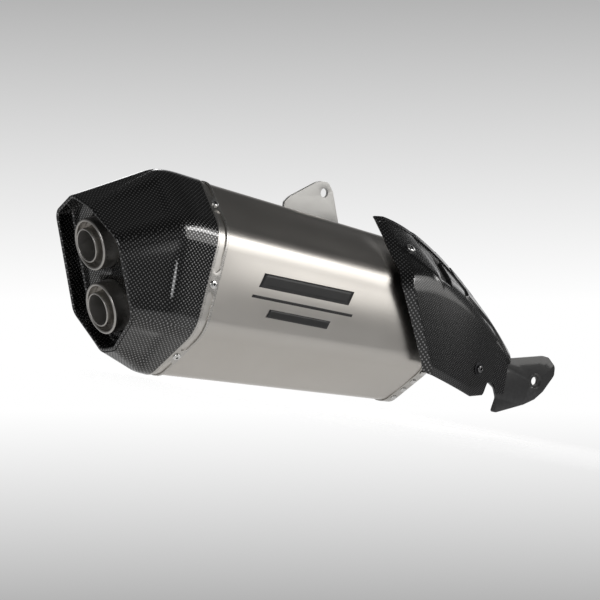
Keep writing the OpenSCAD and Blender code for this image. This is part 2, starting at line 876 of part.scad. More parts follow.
// Strip from the inlet pipe to the lower shield bolt
module lower_stay() {
    p = lower_p;
    top = shield_t + seam;
    color("silver")
        difference() {
            union() {
                along(p, lower_n)
                    translate([-washer_d / 2, -washer_d / 2, -top - stay_t])
                        cube([washer_d, washer_d, stay_t]);
                translate([p[0] - stay_w / 2, p[1] + top + stay_t / 2, p[2] + 4])
                    cube([stay_w, -p[1] - top, stay_t]);
            }
            along([-80, 0, 0], [1, 0, 0])
                cylinder(d = pipe_od + 2 * seam, h = 80);
            along(p, lower_n)
                translate([0, 0, -10])
                    cylinder(d = shield_screw_d + 2 * seam, h = 20);
        }
}

module shield_bolt(p, n, l) {
    color("white")
        along(p, n)
            translate([0, 0, washer_t + 2 * seam]) {
                button(shield_head_d, shield_head_h, 3);
                translate([0, 0, -l])
                    cylinder(d = shield_screw_d, h = l + seam);
            }
}

module shield_bolt_upper() {
    shield_bolt(upper_p, upper_n, 12);
}

module shield_bolt_lower() {
    shield_bolt(lower_p, lower_n, 9);
}

module shield_washers() {
    color("gray")
        for (b = [[upper_p, upper_n], [lower_p, lower_n]])
            along(b[0], b[1])
                translate([0, 0, seam])
                    tube(washer_d, shield_screw_d + 0.2, washer_t);
}

outer_sleeve();
end_cap();
cap_carrier_ring();
outlet_band();
outlet_band_screws();
chamber_box();
outlet_ring_upper();
outlet_ring_lower();
noise_insert_upper();
noise_insert_lower();
insert_screw_upper();
insert_screw_lower();
outlet_bulkhead();
perforated_core();
packing_wool();
inlet_cap();
inlet_band();
inlet_band_rivets();
inlet_pipe();
inlet_clamp();
clamp_bolt();
clamp_nut();
tab_bracket();
tab_rivets();
heat_shield();
shield_ear();
upper_standoff();
lower_stay();
shield_bolt_upper();
shield_bolt_lower();
shield_washers();
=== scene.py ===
"""Slip-on silencer with a carbon end cap, twin outlets and a carbon heat shield.

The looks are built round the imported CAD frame. Sizes are in millimetres in the frame's own
axes: the origin is at the inlet socket mouth, +X runs towards the engine, -Y is outboard and
+Z is up. Meshes are made in metres.
"""

import json
import logging
import math
from dataclasses import dataclass, field
from enum import Enum
from typing import Callable, Sequence

import bmesh
import bpy
from mathutils import Matrix, Vector

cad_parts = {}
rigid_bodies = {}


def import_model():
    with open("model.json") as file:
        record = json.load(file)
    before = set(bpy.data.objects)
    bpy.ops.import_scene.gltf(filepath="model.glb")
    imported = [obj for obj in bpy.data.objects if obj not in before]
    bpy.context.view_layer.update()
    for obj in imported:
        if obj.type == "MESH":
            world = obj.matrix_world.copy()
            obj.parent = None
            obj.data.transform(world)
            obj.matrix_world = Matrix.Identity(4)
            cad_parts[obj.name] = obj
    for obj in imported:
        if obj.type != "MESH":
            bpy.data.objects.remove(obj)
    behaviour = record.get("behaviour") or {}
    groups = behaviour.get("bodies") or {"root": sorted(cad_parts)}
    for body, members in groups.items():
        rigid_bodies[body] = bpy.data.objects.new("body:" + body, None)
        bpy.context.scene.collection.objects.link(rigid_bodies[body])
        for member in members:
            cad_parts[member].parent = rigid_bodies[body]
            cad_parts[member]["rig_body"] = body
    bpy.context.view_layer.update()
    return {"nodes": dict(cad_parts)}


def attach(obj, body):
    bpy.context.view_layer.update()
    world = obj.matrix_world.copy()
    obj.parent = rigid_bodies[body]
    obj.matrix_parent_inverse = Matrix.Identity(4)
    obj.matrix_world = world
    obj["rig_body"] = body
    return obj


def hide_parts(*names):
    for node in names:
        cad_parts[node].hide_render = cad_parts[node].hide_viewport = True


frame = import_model()
MM = 0.001
ROOT_BODY = "silencer"
LOG = logging.getLogger("silencer")

Ring = list[Vector]
Face = tuple[int, ...]


# ---------------------------------------------------------------- geometry


def mix(a: float, b: float, s: float) -> float:
    """Blends two numbers, a at s 0 and b at s 1."""
    return a + (b - a) * s


def clamp01(x: float) -> float:
    """Holds a number between 0 and 1."""
    return max(0.0, min(1.0, x))


def smooth(x: float) -> float:
    """Eases a share from 0 to 1 with flat ends."""
    x = clamp01(x)
    return x * x * (3 - 2 * x)


def inset(corners: Sequence[Vector], d: float) -> list[Vector]:
    """Moves a convex outline inwards with its edges kept parallel.

    Args:
        corners: Corners of the outline in order.
        d: Distance inwards, or outwards if negative.

    Returns:
        The corners of the new outline.
    """
    out = []
    for i, c in enumerate(corners):
        a = (corners[i - 1] - c).normalized()
        b = (corners[(i + 1) % len(corners)] - c).normalized()
        half = a.angle(b) / 2
        out.append(c + (a + b).normalized() * d / math.sin(half))
    return out


def rounded(
    corners: Sequence[Vector], radii: Sequence[float], arc: int, edge: int
) -> list[Vector]:
    """Rounds every corner of a closed outline and divides its straight stretches.

    Args:
        corners: Corners of the outline in order.
        radii: Radius of each corner.
        arc: Steps in each corner's arc.
        edge: Steps in each straight stretch.

    Returns:
        The outline's points; each corner gives arc + edge of them.
    """
    starts, ends, centres = [], [], []
    for i, c in enumerate(corners):
        a = (corners[i - 1] - c).normalized()
        b = (corners[(i + 1) % len(corners)] - c).normalized()
        half = a.angle(b) / 2
        centres.append(c + (a + b).normalized() * radii[i] / math.sin(half))
        starts.append(c + a * radii[i] / math.tan(half))
        ends.append(c + b * radii[i] / math.tan(half))
    out = []
    for i, centre in enumerate(centres):
        p, q = starts[i] - centre, ends[i] - centre
        turn = p.angle(q)
        for k in range(arc):
            s = k / arc
            out.append(
                centre + (p * math.sin((1 - s) * turn) + q * math.sin(s * turn)) / math.sin(turn)
            )
        following = starts[(i + 1) % len(corners)]
        out += [ends[i].lerp(following, k / edge) for k in range(edge)]
    return out


def arc_points(
    corners: Sequence[tuple[float, float]], radii: Sequence[float], steps: int = 5
) -> list[tuple[float, float]]:
    """Rounds the corners of a flat outline given as pairs.

    Args:
        corners: Corners in order.
        radii: Radius of each corner.
        steps: Steps in each arc.

    Returns:
        The outline's points as pairs.
    """
    flat = [Vector((x, y, 0)) for x, y in corners]
    return [(p.x, p.y) for p in rounded(flat, radii, steps, 1)]


def frame_from(axis: Vector, up: Vector) -> tuple[Vector, Vector, Vector]:
    """Makes three square directions, the last along axis and the first near up."""
    z = axis.normalized()
    x = (up - z * up.dot(z)).normalized()
    return x, z.cross(x), z


class Build:
    """Collects points and faces in millimetres, then makes an object in metres."""

    def __init__(self, name: str) -> None:
        """Starts an empty mesh that will carry the given name."""
        self.name = name
        self.points: list[Vector] = []
        self.faces: list[Face] = []
        self.facets: list[int] = []

    def add(self, points: Sequence[Vector]) -> int:
        """Adds points and returns the index of the first."""
        first = len(self.points)
        self.points += [Vector(p) for p in points]
        return first

    def face(self, *corners: int, facet: int = 0) -> None:
        """Adds one face with the facet that its weave follows."""
        self.faces.append(tuple(corners))
        self.facets.append(facet)

    def skin(
        self,
        rows: Sequence[Ring],
        closed: bool = False,
        looped: bool = False,
        facet: Callable[[int, int], int] = lambda i, j: 0,
    ) -> int:
        """Joins matching rows of points with four-sided faces.

        Args:
            rows: Rows of points, all of one length.
            closed: True if each row is a ring.
            looped: True if the last row joins the first.
            facet: Gives the facet of the face at row i and column j.

        Returns:
            The index of the first point.
        """
        m, n = len(rows), len(rows[0])
        first = self.add([p for row in rows for p in row])
        for i in range(m if looped else m - 1):
            for j in range(n if closed else n - 1):
                a, b = first + i * n, first + ((i + 1) % m) * n
                k = (j + 1) % n
                self.face(a + j, b + j, b + k, a + k, facet=facet(i, j))
        return first

    def lathe(
        self,
        profile: Sequence[tuple[float, float]],
        origin: Vector,
        axis: Vector,
        up: Vector,
        steps: int = 96,
        shape: Callable[[int, float], float] = lambda i, a: 1.0,
    ) -> None:
        """Turns a closed profile of (radius, height) pairs round an axis.

        Args:
            profile: Closed profile in order.
            origin: Where height 0 is on the axis.
            axis: Direction of the axis.
            up: Direction of angle 0.
            steps: Steps round the axis.
            shape: Scales the radius of profile point i at an angle, for a hexagon socket.
        """
        x, y, z = frame_from(axis, up)
        rings = []
        for k in range(steps):
            a = 2 * math.pi * k / steps
            out = x * math.cos(a) + y * math.sin(a)
            rings.append(
                [origin + out * r * shape(i, a) + z * h for i, (r, h) in enumerate(profile)]
            )
        self.skin(rings, closed=True, looped=True)

    def make(self, sharp: float = 32.0, body: str = ROOT_BODY, recalc: bool = True) -> bpy.types.Object:
        """Makes the object, lays its weave coordinates and puts it on its body.

        Args:
            sharp: Angle in degrees above which an edge stays sharp.
            body: The body it rides on.
            recalc: True turns all faces outwards.

        Returns:
            The new object.
        """
        mesh = bpy.data.meshes.new(self.name)
        mesh.from_pydata([p * MM for p in self.points], [], self.faces)
        marks = mesh.attributes.new("facet", "INT", "FACE")
        marks.data.foreach_set("value", self.facets)
        bm = bmesh.new()
        bm.from_mesh(mesh)
        bmesh.ops.remove_doubles(bm, verts=bm.verts, dist=0.002 * MM)
        if recalc:
            bmesh.ops.recalc_face_normals(bm, faces=bm.faces)
        bm.to_mesh(mesh)
        bm.free()
        lay_tows(mesh)
        mesh.shade_smooth()
        mesh.set_sharp_from_angle(angle=math.radians(sharp))
        obj = bpy.data.objects.new(self.name, mesh)
        bpy.context.scene.collection.objects.link(obj)
        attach(obj, body)
        return obj


def lay_tows(mesh: bpy.types.Mesh) -> None:
    """Stores, for each facet, the flat coordinates in millimetres that its cloth lies along."""
    facets = mesh.attributes["facet"].data
    normals: dict[int, Vector] = {}
    for poly in mesh.polygons:
        key = facets[poly.index].value
        normals[key] = normals.get(key, Vector()) + poly.normal * poly.area
    axes = {}
    for key, n in normals.items():
        n = n.normalized() if n.length > 0 else Vector((0, -1, 0))
        guide = Vector((0, 0, 1)) if abs(n.x) > 0.8 else Vector((1, 0, 0))
        along = (guide - n * guide.dot(n)).normalized()
        axes[key] = (along, n.cross(along))
    tow = mesh.attributes.new("tow", "FLOAT_VECTOR", "CORNER")
    for poly in mesh.polygons:
        along, across = axes[facets[poly.index].value]
        for k in poly.loop_indices:
            p = mesh.vertices[mesh.loops[k].vertex_index].co / MM
            tow.data[k].vector = (p.dot(along), p.dot(across), 0)


def add_bevel(obj: bpy.types.Object, width: float, steps: int = 3, angle: float = 35) -> None:
    """Rounds an object's edges by a width in millimetres."""
    bevel = obj.modifiers.new("edge_round", "BEVEL")
    bevel.width = width * MM
    bevel.segments = steps
    bevel.limit_method = "ANGLE"
    bevel.angle_limit = math.radians(angle)
    bevel.harden_normals = False


def add_thickness(
    obj: bpy.types.Object, thickness: float, offset: float = -1.0, even: bool = True
) -> None:
    """Gives a sheet its thickness.

    Args:
        obj: The sheet.
        thickness: Thickness in millimetres.
        offset: -1 grows against the normals, 1 along them.
        even: True keeps the thickness through sharp bends.
    """
    solid = obj.modifiers.new("sheet_gauge", "SOLIDIFY")
    solid.thickness = thickness * MM
    solid.offset = offset
    solid.use_even_offset = even


def fill_plate(
    build: Build,
    outline: Sequence[Vector],
    holes: Sequence[Sequence[Vector]] = (),
    facet: int = 0,
) -> None:
    """Fills a flat outline with holes in it with triangles.

    Args:
        build: The mesh that gets the faces.
        outline: The outer outline in order.
        holes: The outlines of the holes.
        facet: The facet that the weave follows.
    """
    bm = bmesh.new()
    edges = []
    for loop in (outline, *holes):
        verts = [bm.verts.new(p) for p in loop]
        edges += [bm.edges.new((verts[i - 1], verts[i])) for i in range(len(verts))]
    bmesh.ops.triangle_fill(bm, use_beauty=True, use_dissolve=False, edges=edges)
    bm.verts.index_update()
    first = build.add([v.co.copy() for v in bm.verts])
    for f in bm.faces:
        build.face(*[first + v.index for v in f.verts], facet=facet)
    bm.free()


def circle(centre: Vector, x: Vector, y: Vector, radius: float, steps: int = 64) -> Ring:
    """Gives the points of a circle in the plane of two directions."""
    turns = [2 * math.pi * k / steps for k in range(steps)]
    return [centre + x * radius * math.cos(a) + y * radius * math.sin(a) for a in turns]


def hexagon_share(angle: float) -> float:
    """Gives a hexagon's radius at an angle as a share of its corner radius."""
    step = math.pi / 3
    return math.cos(step / 2) / math.cos((angle % step) - step / 2)


# ---------------------------------------------------------------- shader nodes


class Bench:
    """Adds and links the nodes of one tree with little writing."""

    def __init__(self, tree: bpy.types.NodeTree) -> None:
        """Works on the given node tree."""
        self.tree = tree

    def node(self, kind: str, **settings: object) -> bpy.types.Node:
        """Adds a node of a kind and sets its properties."""
        made = self.tree.nodes.new(kind)
        for key, value in settings.items():
            setattr(made, key, value)
        return made

    def link(self, source: bpy.types.NodeSocket, target: bpy.types.NodeSocket) -> None:
        """Joins two sockets."""
        self.tree.links.new(source, target)

    def feed(self, socket: bpy.types.NodeSocket, value: object) -> None:
        """Links a socket to a socket, or sets its value."""
        if isinstance(value, bpy.types.NodeSocket):
            self.link(value, socket)
        else:
            socket.default_value = value

    def math(self, operation: str, *values: object, clamp: bool = False) -> bpy.types.NodeSocket:
        """Adds a math node and returns its result."""
        made = self.node("ShaderNodeMath", operation=operation, use_clamp=clamp)
        for socket, value in zip(made.inputs, values):
            self.feed(socket, value)
        return made.outputs[0]

    def vector(self, operation: str, *values: object) -> bpy.types.NodeSocket:
        """Adds a vector math node and returns its vector."""
        made = self.node("ShaderNodeVectorMath", operation=operation)
        for socket, value in zip(made.inputs, values):
            self.feed(socket, value)
        return made.outputs[0]

    def noise(self, vector: object, scale: float, detail: float = 2.0) -> bpy.types.NodeSocket:
        """Adds a noise texture and returns its value."""
        made = self.node("ShaderNodeTexNoise")
        self.feed(made.inputs["Vector"], vector)
        made.inputs["Scale"].default_value = scale
        made.inputs["Detail"].default_value = detail
        return made.outputs["Fac"]

    def spread(
        self, value: object, low: float, high: float, to_low: float = 0.0, to_high: float = 1.0
    ) -> bpy.types.NodeSocket:
        """Maps a range of a value to another range, held at its ends."""
        made = self.node("ShaderNodeMapRange", clamp=True)
        for name, x in zip(
            ("Value", "From Min", "From Max", "To Min", "To Max"),
            (value, low, high, to_low, to_high),
        ):
            self.feed(made.inputs[name], x)
        return made.outputs["Result"]

    def blend(self, share: object, a: object, b: object) -> bpy.types.NodeSocket:
        """Mixes two colours and returns the colour."""
        made = self.node("ShaderNodeMix", data_type="RGBA")
        self.feed(made.inputs["Factor"], share)
        self.feed(made.inputs[6], a)
        self.feed(made.inputs[7], b)
        return made.outputs[2]

    def effect(self, group: bpy.types.NodeTree, **values: object) -> bpy.types.Node:
        """Places a shared effect and sets its named inputs; a name's _ stands for a space."""
        made = self.node("ShaderNodeGroup", node_tree=group)
        for key, value in values.items():
            self.feed(made.inputs[key.replace("_", " ")], value)
        return made


class Effect:
    """Starts a shader node group with named inputs and outputs."""

    def __init__(
        self, name: str, inputs: dict[str, tuple[str, object]], outputs: dict[str, str]
    ) -> None:
        """Makes the group and its sockets.

        Args:
            name: The group's name.
            inputs: Socket kind and starting value by name.
            outputs: Socket kind by name.
        """
        self.tree = bpy.data.node_groups.new(name, "ShaderNodeTree")
        for label, (kind, start) in inputs.items():
            socket = self.tree.interface.new_socket(label, in_out="INPUT", socket_type=kind)
            if start is not None:
                socket.default_value = start
        for label, kind in outputs.items():
            self.tree.interface.new_socket(label, in_out="OUTPUT", socket_type=kind)
        self.bench = Bench(self.tree)
        self.given = self.bench.node("NodeGroupInput").outputs
        self.result = self.bench.node("NodeGroupOutput").inputs


FLOAT, VECTOR, COLOUR = "NodeSocketFloat", "NodeSocketVector", "NodeSocketColor"


class Effects:
    """The effects that several finishes share, each made once."""

    _made: dict[str, bpy.types.NodeTree] = {}

    @classmethod
    def get(cls, name: str) -> bpy.types.NodeTree:
        """Returns the effect called name, and makes it the first time."""
        if name not in cls._made:
            cls._made[name] = getattr(cls, "_" + name)()
        return cls._made[name]

    @staticmethod
    def _weave() -> bpy.types.NodeTree:
        """Makes the plain weave of flat tows that cross one over one."""
        e = Effect(
            "Plain weave",
            {"Tow": (VECTOR, None), "Width": (FLOAT, 2.0), "Turn": (FLOAT, 0.0)},
            {"Lift": FLOAT, "Warp": FLOAT, "Fibre": FLOAT, "Dot": FLOAT},
        )
        b = e.bench
        turned = b.node("ShaderNodeVectorRotate", rotation_type="Z_AXIS")
        b.link(e.given["Tow"], turned.inputs["Vector"])
        b.link(e.given["Turn"], turned.inputs["Angle"])
        wobble = b.node("ShaderNodeTexNoise")
        wobble.inputs["Scale"].default_value = 0.06
        b.link(turned.outputs[0], wobble.inputs["Vector"])
        drift = b.vector("SCALE", wobble.outputs["Color"])
        drift.node.inputs["Scale"].default_value = 1.6
        laid = b.vector("ADD", turned.outputs[0], drift)
        inverse = b.math("DIVIDE", 1.0, e.given["Width"])
        scaled = b.vector("SCALE", laid)
        b.link(inverse, scaled.node.inputs["Scale"])
        split = b.node("ShaderNodeSeparateXYZ")
        b.link(scaled, split.inputs[0])
        u, v = split.outputs[0], split.outputs[1]
        parity = b.math("ADD", b.math("FLOOR", u), b.math("FLOOR", v))
        warp = b.math("ABSOLUTE", b.math("FLOORED_MODULO", parity, 2.0))
        across = b.math("SINE", b.math("MULTIPLY", b.math("FRACT", u), math.pi))
        along = b.math("SINE", b.math("MULTIPLY", b.math("FRACT", v), math.pi))
        lift = b.math("POWER", b.math("MULTIPLY", across, along), 0.6)
        fibres = []
        for du, dv in ((7.0, 0.5), (0.5, 7.0)):
            stretched = b.vector("MULTIPLY", scaled, (du, dv, 1.0))
            fibres.append(b.noise(stretched, 1.0, 1.0))
        kept = b.math("MULTIPLY", fibres[0], warp)
        rest = b.math("MULTIPLY", fibres[1], b.math("SUBTRACT", 1.0, warp))
        dot = b.math("MULTIPLY", lift, b.spread(warp, 0.0, 1.0, 0.16, 1.0))
        b.link(lift, e.result["Lift"])
        b.link(warp, e.result["Warp"])
        b.link(b.math("ADD", kept, rest), e.result["Fibre"])
        b.link(dot, e.result["Dot"])
        return e.tree

    @staticmethod
    def _brushing() -> bpy.types.NodeTree:
        """Makes fine brushed lines along X with slow cloudy changes under them."""
        e = Effect(
            "Brushed lines",
            {"Point": (VECTOR, None), "Pitch": (FLOAT, 900.0), "Stretch": (FLOAT, 0.02)},
            {"Line": FLOAT, "Cloud": FLOAT, "Height": FLOAT},
        )
        b = e.bench
        squash = b.node("ShaderNodeCombineXYZ")
        b.link(e.given["Stretch"], squash.inputs[0])
        squash.inputs[1].default_value = 1.0
        squash.inputs[2].default_value = 1.0
        stretched = b.vector("MULTIPLY", e.given["Point"], squash.outputs[0])
        pitched = b.vector("SCALE", stretched)
        b.link(e.given["Pitch"], pitched.node.inputs["Scale"])
        line = b.noise(pitched, 1.0, 3.0)
        cloud = b.noise(e.given["Point"], 14.0, 3.0)
        b.link(line, e.result["Line"])
        b.link(cloud, e.result["Cloud"])
        b.link(b.math("MULTIPLY", line, 0.6), e.result["Height"])
        return e.tree

    @staticmethod
    def _grain() -> bpy.types.NodeTree:
        """Makes an even blasted or cast grain."""
        e = Effect(
            "Surface grain",
            {"Point": (VECTOR, None), "Pitch": (FLOAT, 1500.0)},
            {"Grain": FLOAT, "Cloud": FLOAT},
        )
        b = e.bench
        pitched = b.vector("SCALE", e.given["Point"])
        b.link(e.given["Pitch"], pitched.node.inputs["Scale"])
        b.link(b.noise(pitched, 1.0, 2.0), e.result["Grain"])
        b.link(b.noise(e.given["Point"], 30.0, 4.0), e.result["Cloud"])
        return e.tree

    @staticmethod
    def _edge_wear() -> bpy.types.NodeTree:
        """Finds raised edges and breaks them up, for rubbed and brightened corners."""
        e = Effect(
            "Edge wear",
            {"Point": (VECTOR, None), "Start": (FLOAT, 0.52), "Full": (FLOAT, 0.62)},
            {"Wear": FLOAT},
        )
        b = e.bench
        raised = b.node("ShaderNodeNewGeometry").outputs["Pointiness"]
        edge = b.spread(raised, 0.0, 1.0)
        b.link(e.given["Start"], edge.node.inputs["From Min"])
        b.link(e.given["Full"], edge.node.inputs["From Max"])
        patchy = b.spread(b.noise(e.given["Point"], 260.0, 3.0), 0.35, 0.65, 0.35, 1.0)
        b.link(b.math("MULTIPLY", edge, patchy), e.result["Wear"])
        return e.tree

    @staticmethod
    def _dust() -> bpy.types.NodeTree:
        """Makes a thin film with soft patches and a few fine specks."""
        e = Effect("Dust film", {"Point": (VECTOR, None), "Amount": (FLOAT, 0.05)}, {"Film": FLOAT})
        b = e.bench
        soft = b.spread(b.noise(e.given["Point"], 22.0, 5.0), 0.35, 0.75)
        specks = b.spread(b.noise(e.given["Point"], 1400.0, 1.0), 0.72, 0.8)
        both = b.math("ADD", soft, specks)
        b.link(b.math("MULTIPLY", both, e.given["Amount"], clamp=True), e.result["Film"])
        return e.tree


# ---------------------------------------------------------------- finishes


Rgb = tuple[float, float, float]


def rgba(colour: Rgb) -> tuple[float, float, float, float]:
    """Adds full opacity to a colour."""
    return (*colour, 1.0)


class Finish:
    """A named surface finish that makes its material once."""

    _materials: dict[str, bpy.types.Material] = {}
    name: str

    def material(self) -> bpy.types.Material:
        """Returns the finish's material, and makes it the first time."""
        if self.name not in Finish._materials:
            made = bpy.data.materials.new(self.name)
            made.use_nodes = True
            made.node_tree.nodes.clear()
            bench = Bench(made.node_tree)
            shader = bench.node("ShaderNodeBsdfPrincipled")
            out = bench.node("ShaderNodeOutputMaterial")
            bench.link(shader.outputs[0], out.inputs["Surface"])
            self.paint(bench, shader)
            Finish._materials[self.name] = made
        return Finish._materials[self.name]

    def paint(self, b: Bench, shader: bpy.types.Node) -> None:
        """Adds the finish's own nodes before the shader."""
        raise NotImplementedError

    def dress(self, obj: bpy.types.Object) -> bpy.types.Object:
        """Puts the finish on every face of an object and returns the object."""
        made = self.material()
        if not obj.material_slots:
            obj.data.materials.append(made)
        for slot in obj.material_slots:
            slot.material = made
        return obj


def object_point(b: Bench) -> bpy.types.NodeSocket:
    """Returns the object's own coordinates in metres."""
    return b.node("ShaderNodeTexCoord").outputs["Object"]


def add_bump(b: Bench, shader: bpy.types.Node, height: object, strength: float, depth: float) -> None:
    """Feeds a height through a bump to the shader; depth is in millimetres."""
    bump = b.node("ShaderNodeBump")
    bump.inputs["Strength"].default_value = strength
    bump.inputs["Distance"].default_value = depth * MM
    b.feed(bump.inputs["Height"], height)
    b.link(bump.outputs[0], shader.inputs["Normal"])


@dataclass(frozen=True)
class Metal(Finish):
    """Bare metal with brushed lines or a blasted grain and rubbed edges."""

    name: str
    colour: Rgb
    shade: Rgb
    smooth_roughness: float
    rough_roughness: float
    line_pitch: float = 900.0
    line_stretch: float = 0.02
    grainy: bool = False
    bump: float = 0.12
    wear_colour: Rgb = (0.8, 0.79, 0.77)
    anisotropic: float = 0.0

    def paint(self, b: Bench, shader: bpy.types.Node) -> None:
        """Adds colour, roughness and bump from the lines or the grain."""
        point = object_point(b)
        if self.grainy:
            made = b.effect(Effects.get("grain"), Point=point, Pitch=self.line_pitch)
            fine, height = made.outputs["Grain"], made.outputs["Grain"]
        else:
            made = b.effect(
                Effects.get("brushing"), Point=point, Pitch=self.line_pitch, Stretch=self.line_stretch
            )
            fine, height = made.outputs["Line"], made.outputs["Height"]
        tone = b.blend(b.spread(made.outputs["Cloud"], 0.3, 0.7), rgba(self.shade), rgba(self.colour))
        wear = b.effect(Effects.get("edge_wear"), Point=point).outputs["Wear"]
        worn = b.blend(wear, tone, rgba(self.wear_colour))
        film = b.effect(Effects.get("dust"), Point=point, Amount=0.04).outputs["Film"]
        b.link(worn, shader.inputs["Base Color"])
        rough = b.spread(fine, 0.3, 0.7, self.smooth_roughness, self.rough_roughness)
        b.link(b.math("ADD", rough, film), shader.inputs["Roughness"])
        shader.inputs["Metallic"].default_value = 1.0
        shader.inputs["Anisotropic"].default_value = self.anisotropic
        add_bump(b, shader, height, self.bump, 0.05)


@dataclass(frozen=True)
class Carbon(Finish):
    """Plain weave carbon laminate under a gloss coat."""

    name: str
    width: float = 2.0
    turn: float = 0.0
    dark: Rgb = (0.003, 0.0031, 0.0034)
    light: Rgb = (0.56, 0.563, 0.567)
    sharpness: float = 3.0
    coat_roughness: float = 0.03
    coat: float = 1.0
    sheen: float = 0.0

    def paint(self, b: Bench, shader: bpy.types.Node) -> None:
        """Adds the weave's dots, fibre sheen and relief under the coat."""
        tow = b.node("ShaderNodeAttribute", attribute_type="GEOMETRY", attribute_name="tow")
        weave = b.effect(
            Effects.get("weave"), Tow=tow.outputs["Vector"], Width=self.width, Turn=self.turn
        )
        fibre = b.spread(weave.outputs["Fibre"], 0.3, 0.7, 0.45, 1.0)
        dots = b.math("POWER", weave.outputs["Dot"], self.sharpness)
        b.link(
            b.blend(b.math("MULTIPLY", dots, fibre), rgba(self.dark), rgba(self.light)),
            shader.inputs["Base Color"],
        )
        b.link(b.spread(weave.outputs["Warp"], 0.0, 1.0, 0.5, 0.3), shader.inputs["Roughness"])
        shader.inputs["Metallic"].default_value = 0.93
        shader.inputs["Specular IOR Level"].default_value = self.sheen
        film = b.effect(Effects.get("dust"), Point=object_point(b), Amount=0.03).outputs["Film"]
        b.link(b.math("SUBTRACT", self.coat, film), shader.inputs["Coat Weight"])
        shader.inputs["Coat Roughness"].default_value = self.coat_roughness
        shader.inputs["Coat IOR"].default_value = 1.65
        add_bump(b, shader, weave.outputs["Lift"], 0.35, 0.12)


@dataclass(frozen=True)
class Moulded(Finish):
    """Black plate, print or fibre with a fine grain and no metal in it."""

    name: str
    colour: Rgb
    shade: Rgb
    roughness: float
    pitch: float = 1800.0
    bump: float = 0.2
    coat: float = 0.0

    def paint(self, b: Bench, shader: bpy.types.Node) -> None:
        """Adds grain to the colour, the roughness and the relief."""
        point = object_point(b)
        grain = b.effect(Effects.get("grain"), Point=point, Pitch=self.pitch)
        wear = b.effect(Effects.get("edge_wear"), Point=point).outputs["Wear"]
        tone = b.blend(b.spread(grain.outputs["Cloud"], 0.3, 0.7), rgba(self.shade), rgba(self.colour))
        lighter = tuple(min(1.0, c * 1.8 + 0.02) for c in self.colour)
        b.link(b.blend(wear, tone, rgba(lighter)), shader.inputs["Base Color"])
        low, high = self.roughness - 0.06, self.roughness + 0.06
        b.link(b.spread(grain.outputs["Grain"], 0.3, 0.7, low, high), shader.inputs["Roughness"])
        shader.inputs["Coat Weight"].default_value = self.coat
        shader.inputs["Coat Roughness"].default_value = 0.08
        add_bump(b, shader, grain.outputs["Grain"], self.bump, 0.04)


TITANIUM = Metal(
    "satin_titanium", (0.66, 0.635, 0.60), (0.635, 0.608, 0.572), 0.275, 0.31, 2600.0, 0.04, bump=0.012
)
BAND_STEEL = Metal(
    "band_steel", (0.62, 0.605, 0.58), (0.57, 0.555, 0.53), 0.24, 0.31, 2200.0, 0.2,
    wear_colour=(0.66, 0.645, 0.62), bump=0.03
)
TIP_STEEL = Metal(
    "polished_tip_steel", (0.62, 0.60, 0.575), (0.54, 0.525, 0.50), 0.24, 0.36, 1600.0, 0.3,
    wear_colour=(0.66, 0.645, 0.62), bump=0.05
)
BORE_STEEL = Metal(
    "sooted_bore_steel", (0.56, 0.55, 0.535), (0.44, 0.43, 0.415), 0.36, 0.5, 900.0, 0.5
)
BRIGHT_STEEL = Metal(
    "bright_screw_steel", (0.84, 0.84, 0.83), (0.76, 0.76, 0.75), 0.1, 0.18, 2200.0, 0.5
)
DULL_STEEL = Metal("dull_sheet_steel", (0.42, 0.41, 0.40), (0.34, 0.33, 0.32), 0.36, 0.5, 900.0, 0.4)
PIPE_STEEL = Metal("inlet_pipe_steel", (0.60, 0.58, 0.55), (0.50, 0.48, 0.45), 0.22, 0.34, 1100.0, 0.05)
BLASTED = Metal(
    "blasted_tab_steel", (0.56, 0.555, 0.54), (0.51, 0.505, 0.49), 0.42, 0.56, 2600.0,
    grainy=True, bump=0.35
)
RIVET_ALLOY = Metal("rivet_alloy", (0.80, 0.80, 0.79), (0.70, 0.70, 0.69), 0.16, 0.26, 2400.0, 0.6)
DARK_BOLT = Metal("dark_bolt_steel", (0.20, 0.20, 0.205), (0.13, 0.13, 0.135), 0.16, 0.28, 2400.0, 0.5)
# Dark steel that paints shade inside the fastener sockets.
SOCKET_SHADE = Metal(
    "shaded_socket_steel", (0.10, 0.10, 0.10), (0.06, 0.06, 0.06), 0.4, 0.5, 2400.0, 0.5
)
BLACK_OXIDE = Metal(
    "black_oxide_screw",
    (0.055, 0.055, 0.06),
    (0.035, 0.035, 0.038),
    0.32,
    0.46,
    2400.0,
    grainy=True,
    wear_colour=(0.25, 0.25, 0.25),
)
CAP_CARBON = Carbon("cap_carbon_weave", 1.9)
SHIELD_CARBON = Carbon("shield_carbon_weave", 1.4, turn=math.radians(4), light=(0.20, 0.202, 0.205),
                       coat_roughness=0.16)
FLANGE_CARBON = Carbon("flange_carbon_weave", 2.1, turn=math.radians(4))
EAR_PLATE = Moulded(
    "black_ear_plate", (0.012, 0.012, 0.013), (0.007, 0.007, 0.0075), 0.34, coat=1.0, bump=0.1
)
# Near-black material that paints shade on the faces deep in the shield's pocket.
POCKET_PAINTED_SHADE = Moulded("pocket_painted_shade", (0.004, 0.004, 0.0042), (0.002, 0.002, 0.0021), 0.5, bump=0.1)
BLACK_PRINT = Moulded("black_marking_print", (0.02, 0.02, 0.021), (0.012, 0.012, 0.012), 0.42, bump=0.05)
GLASS_WOOL = Moulded("packed_glass_wool", (0.74, 0.68, 0.52), (0.58, 0.52, 0.38), 0.85, 700.0, 0.9)


# ---------------------------------------------------------------- the can's shape


ARC, EDGE = 10, 10
SIDE_FACET, UPPER_FACET, LOWER_FACET = 3, 2, 4
SECTION_RADII = (30, 20, 20, 30, 30, 20, 20, 30)


def ring_facet(j: int) -> int:
    """Gives the side of the eight-cornered section that column j belongs to."""
    corner, step = divmod(j, ARC + EDGE)
    return corner if step >= ARC / 2 else (corner - 1) % 8


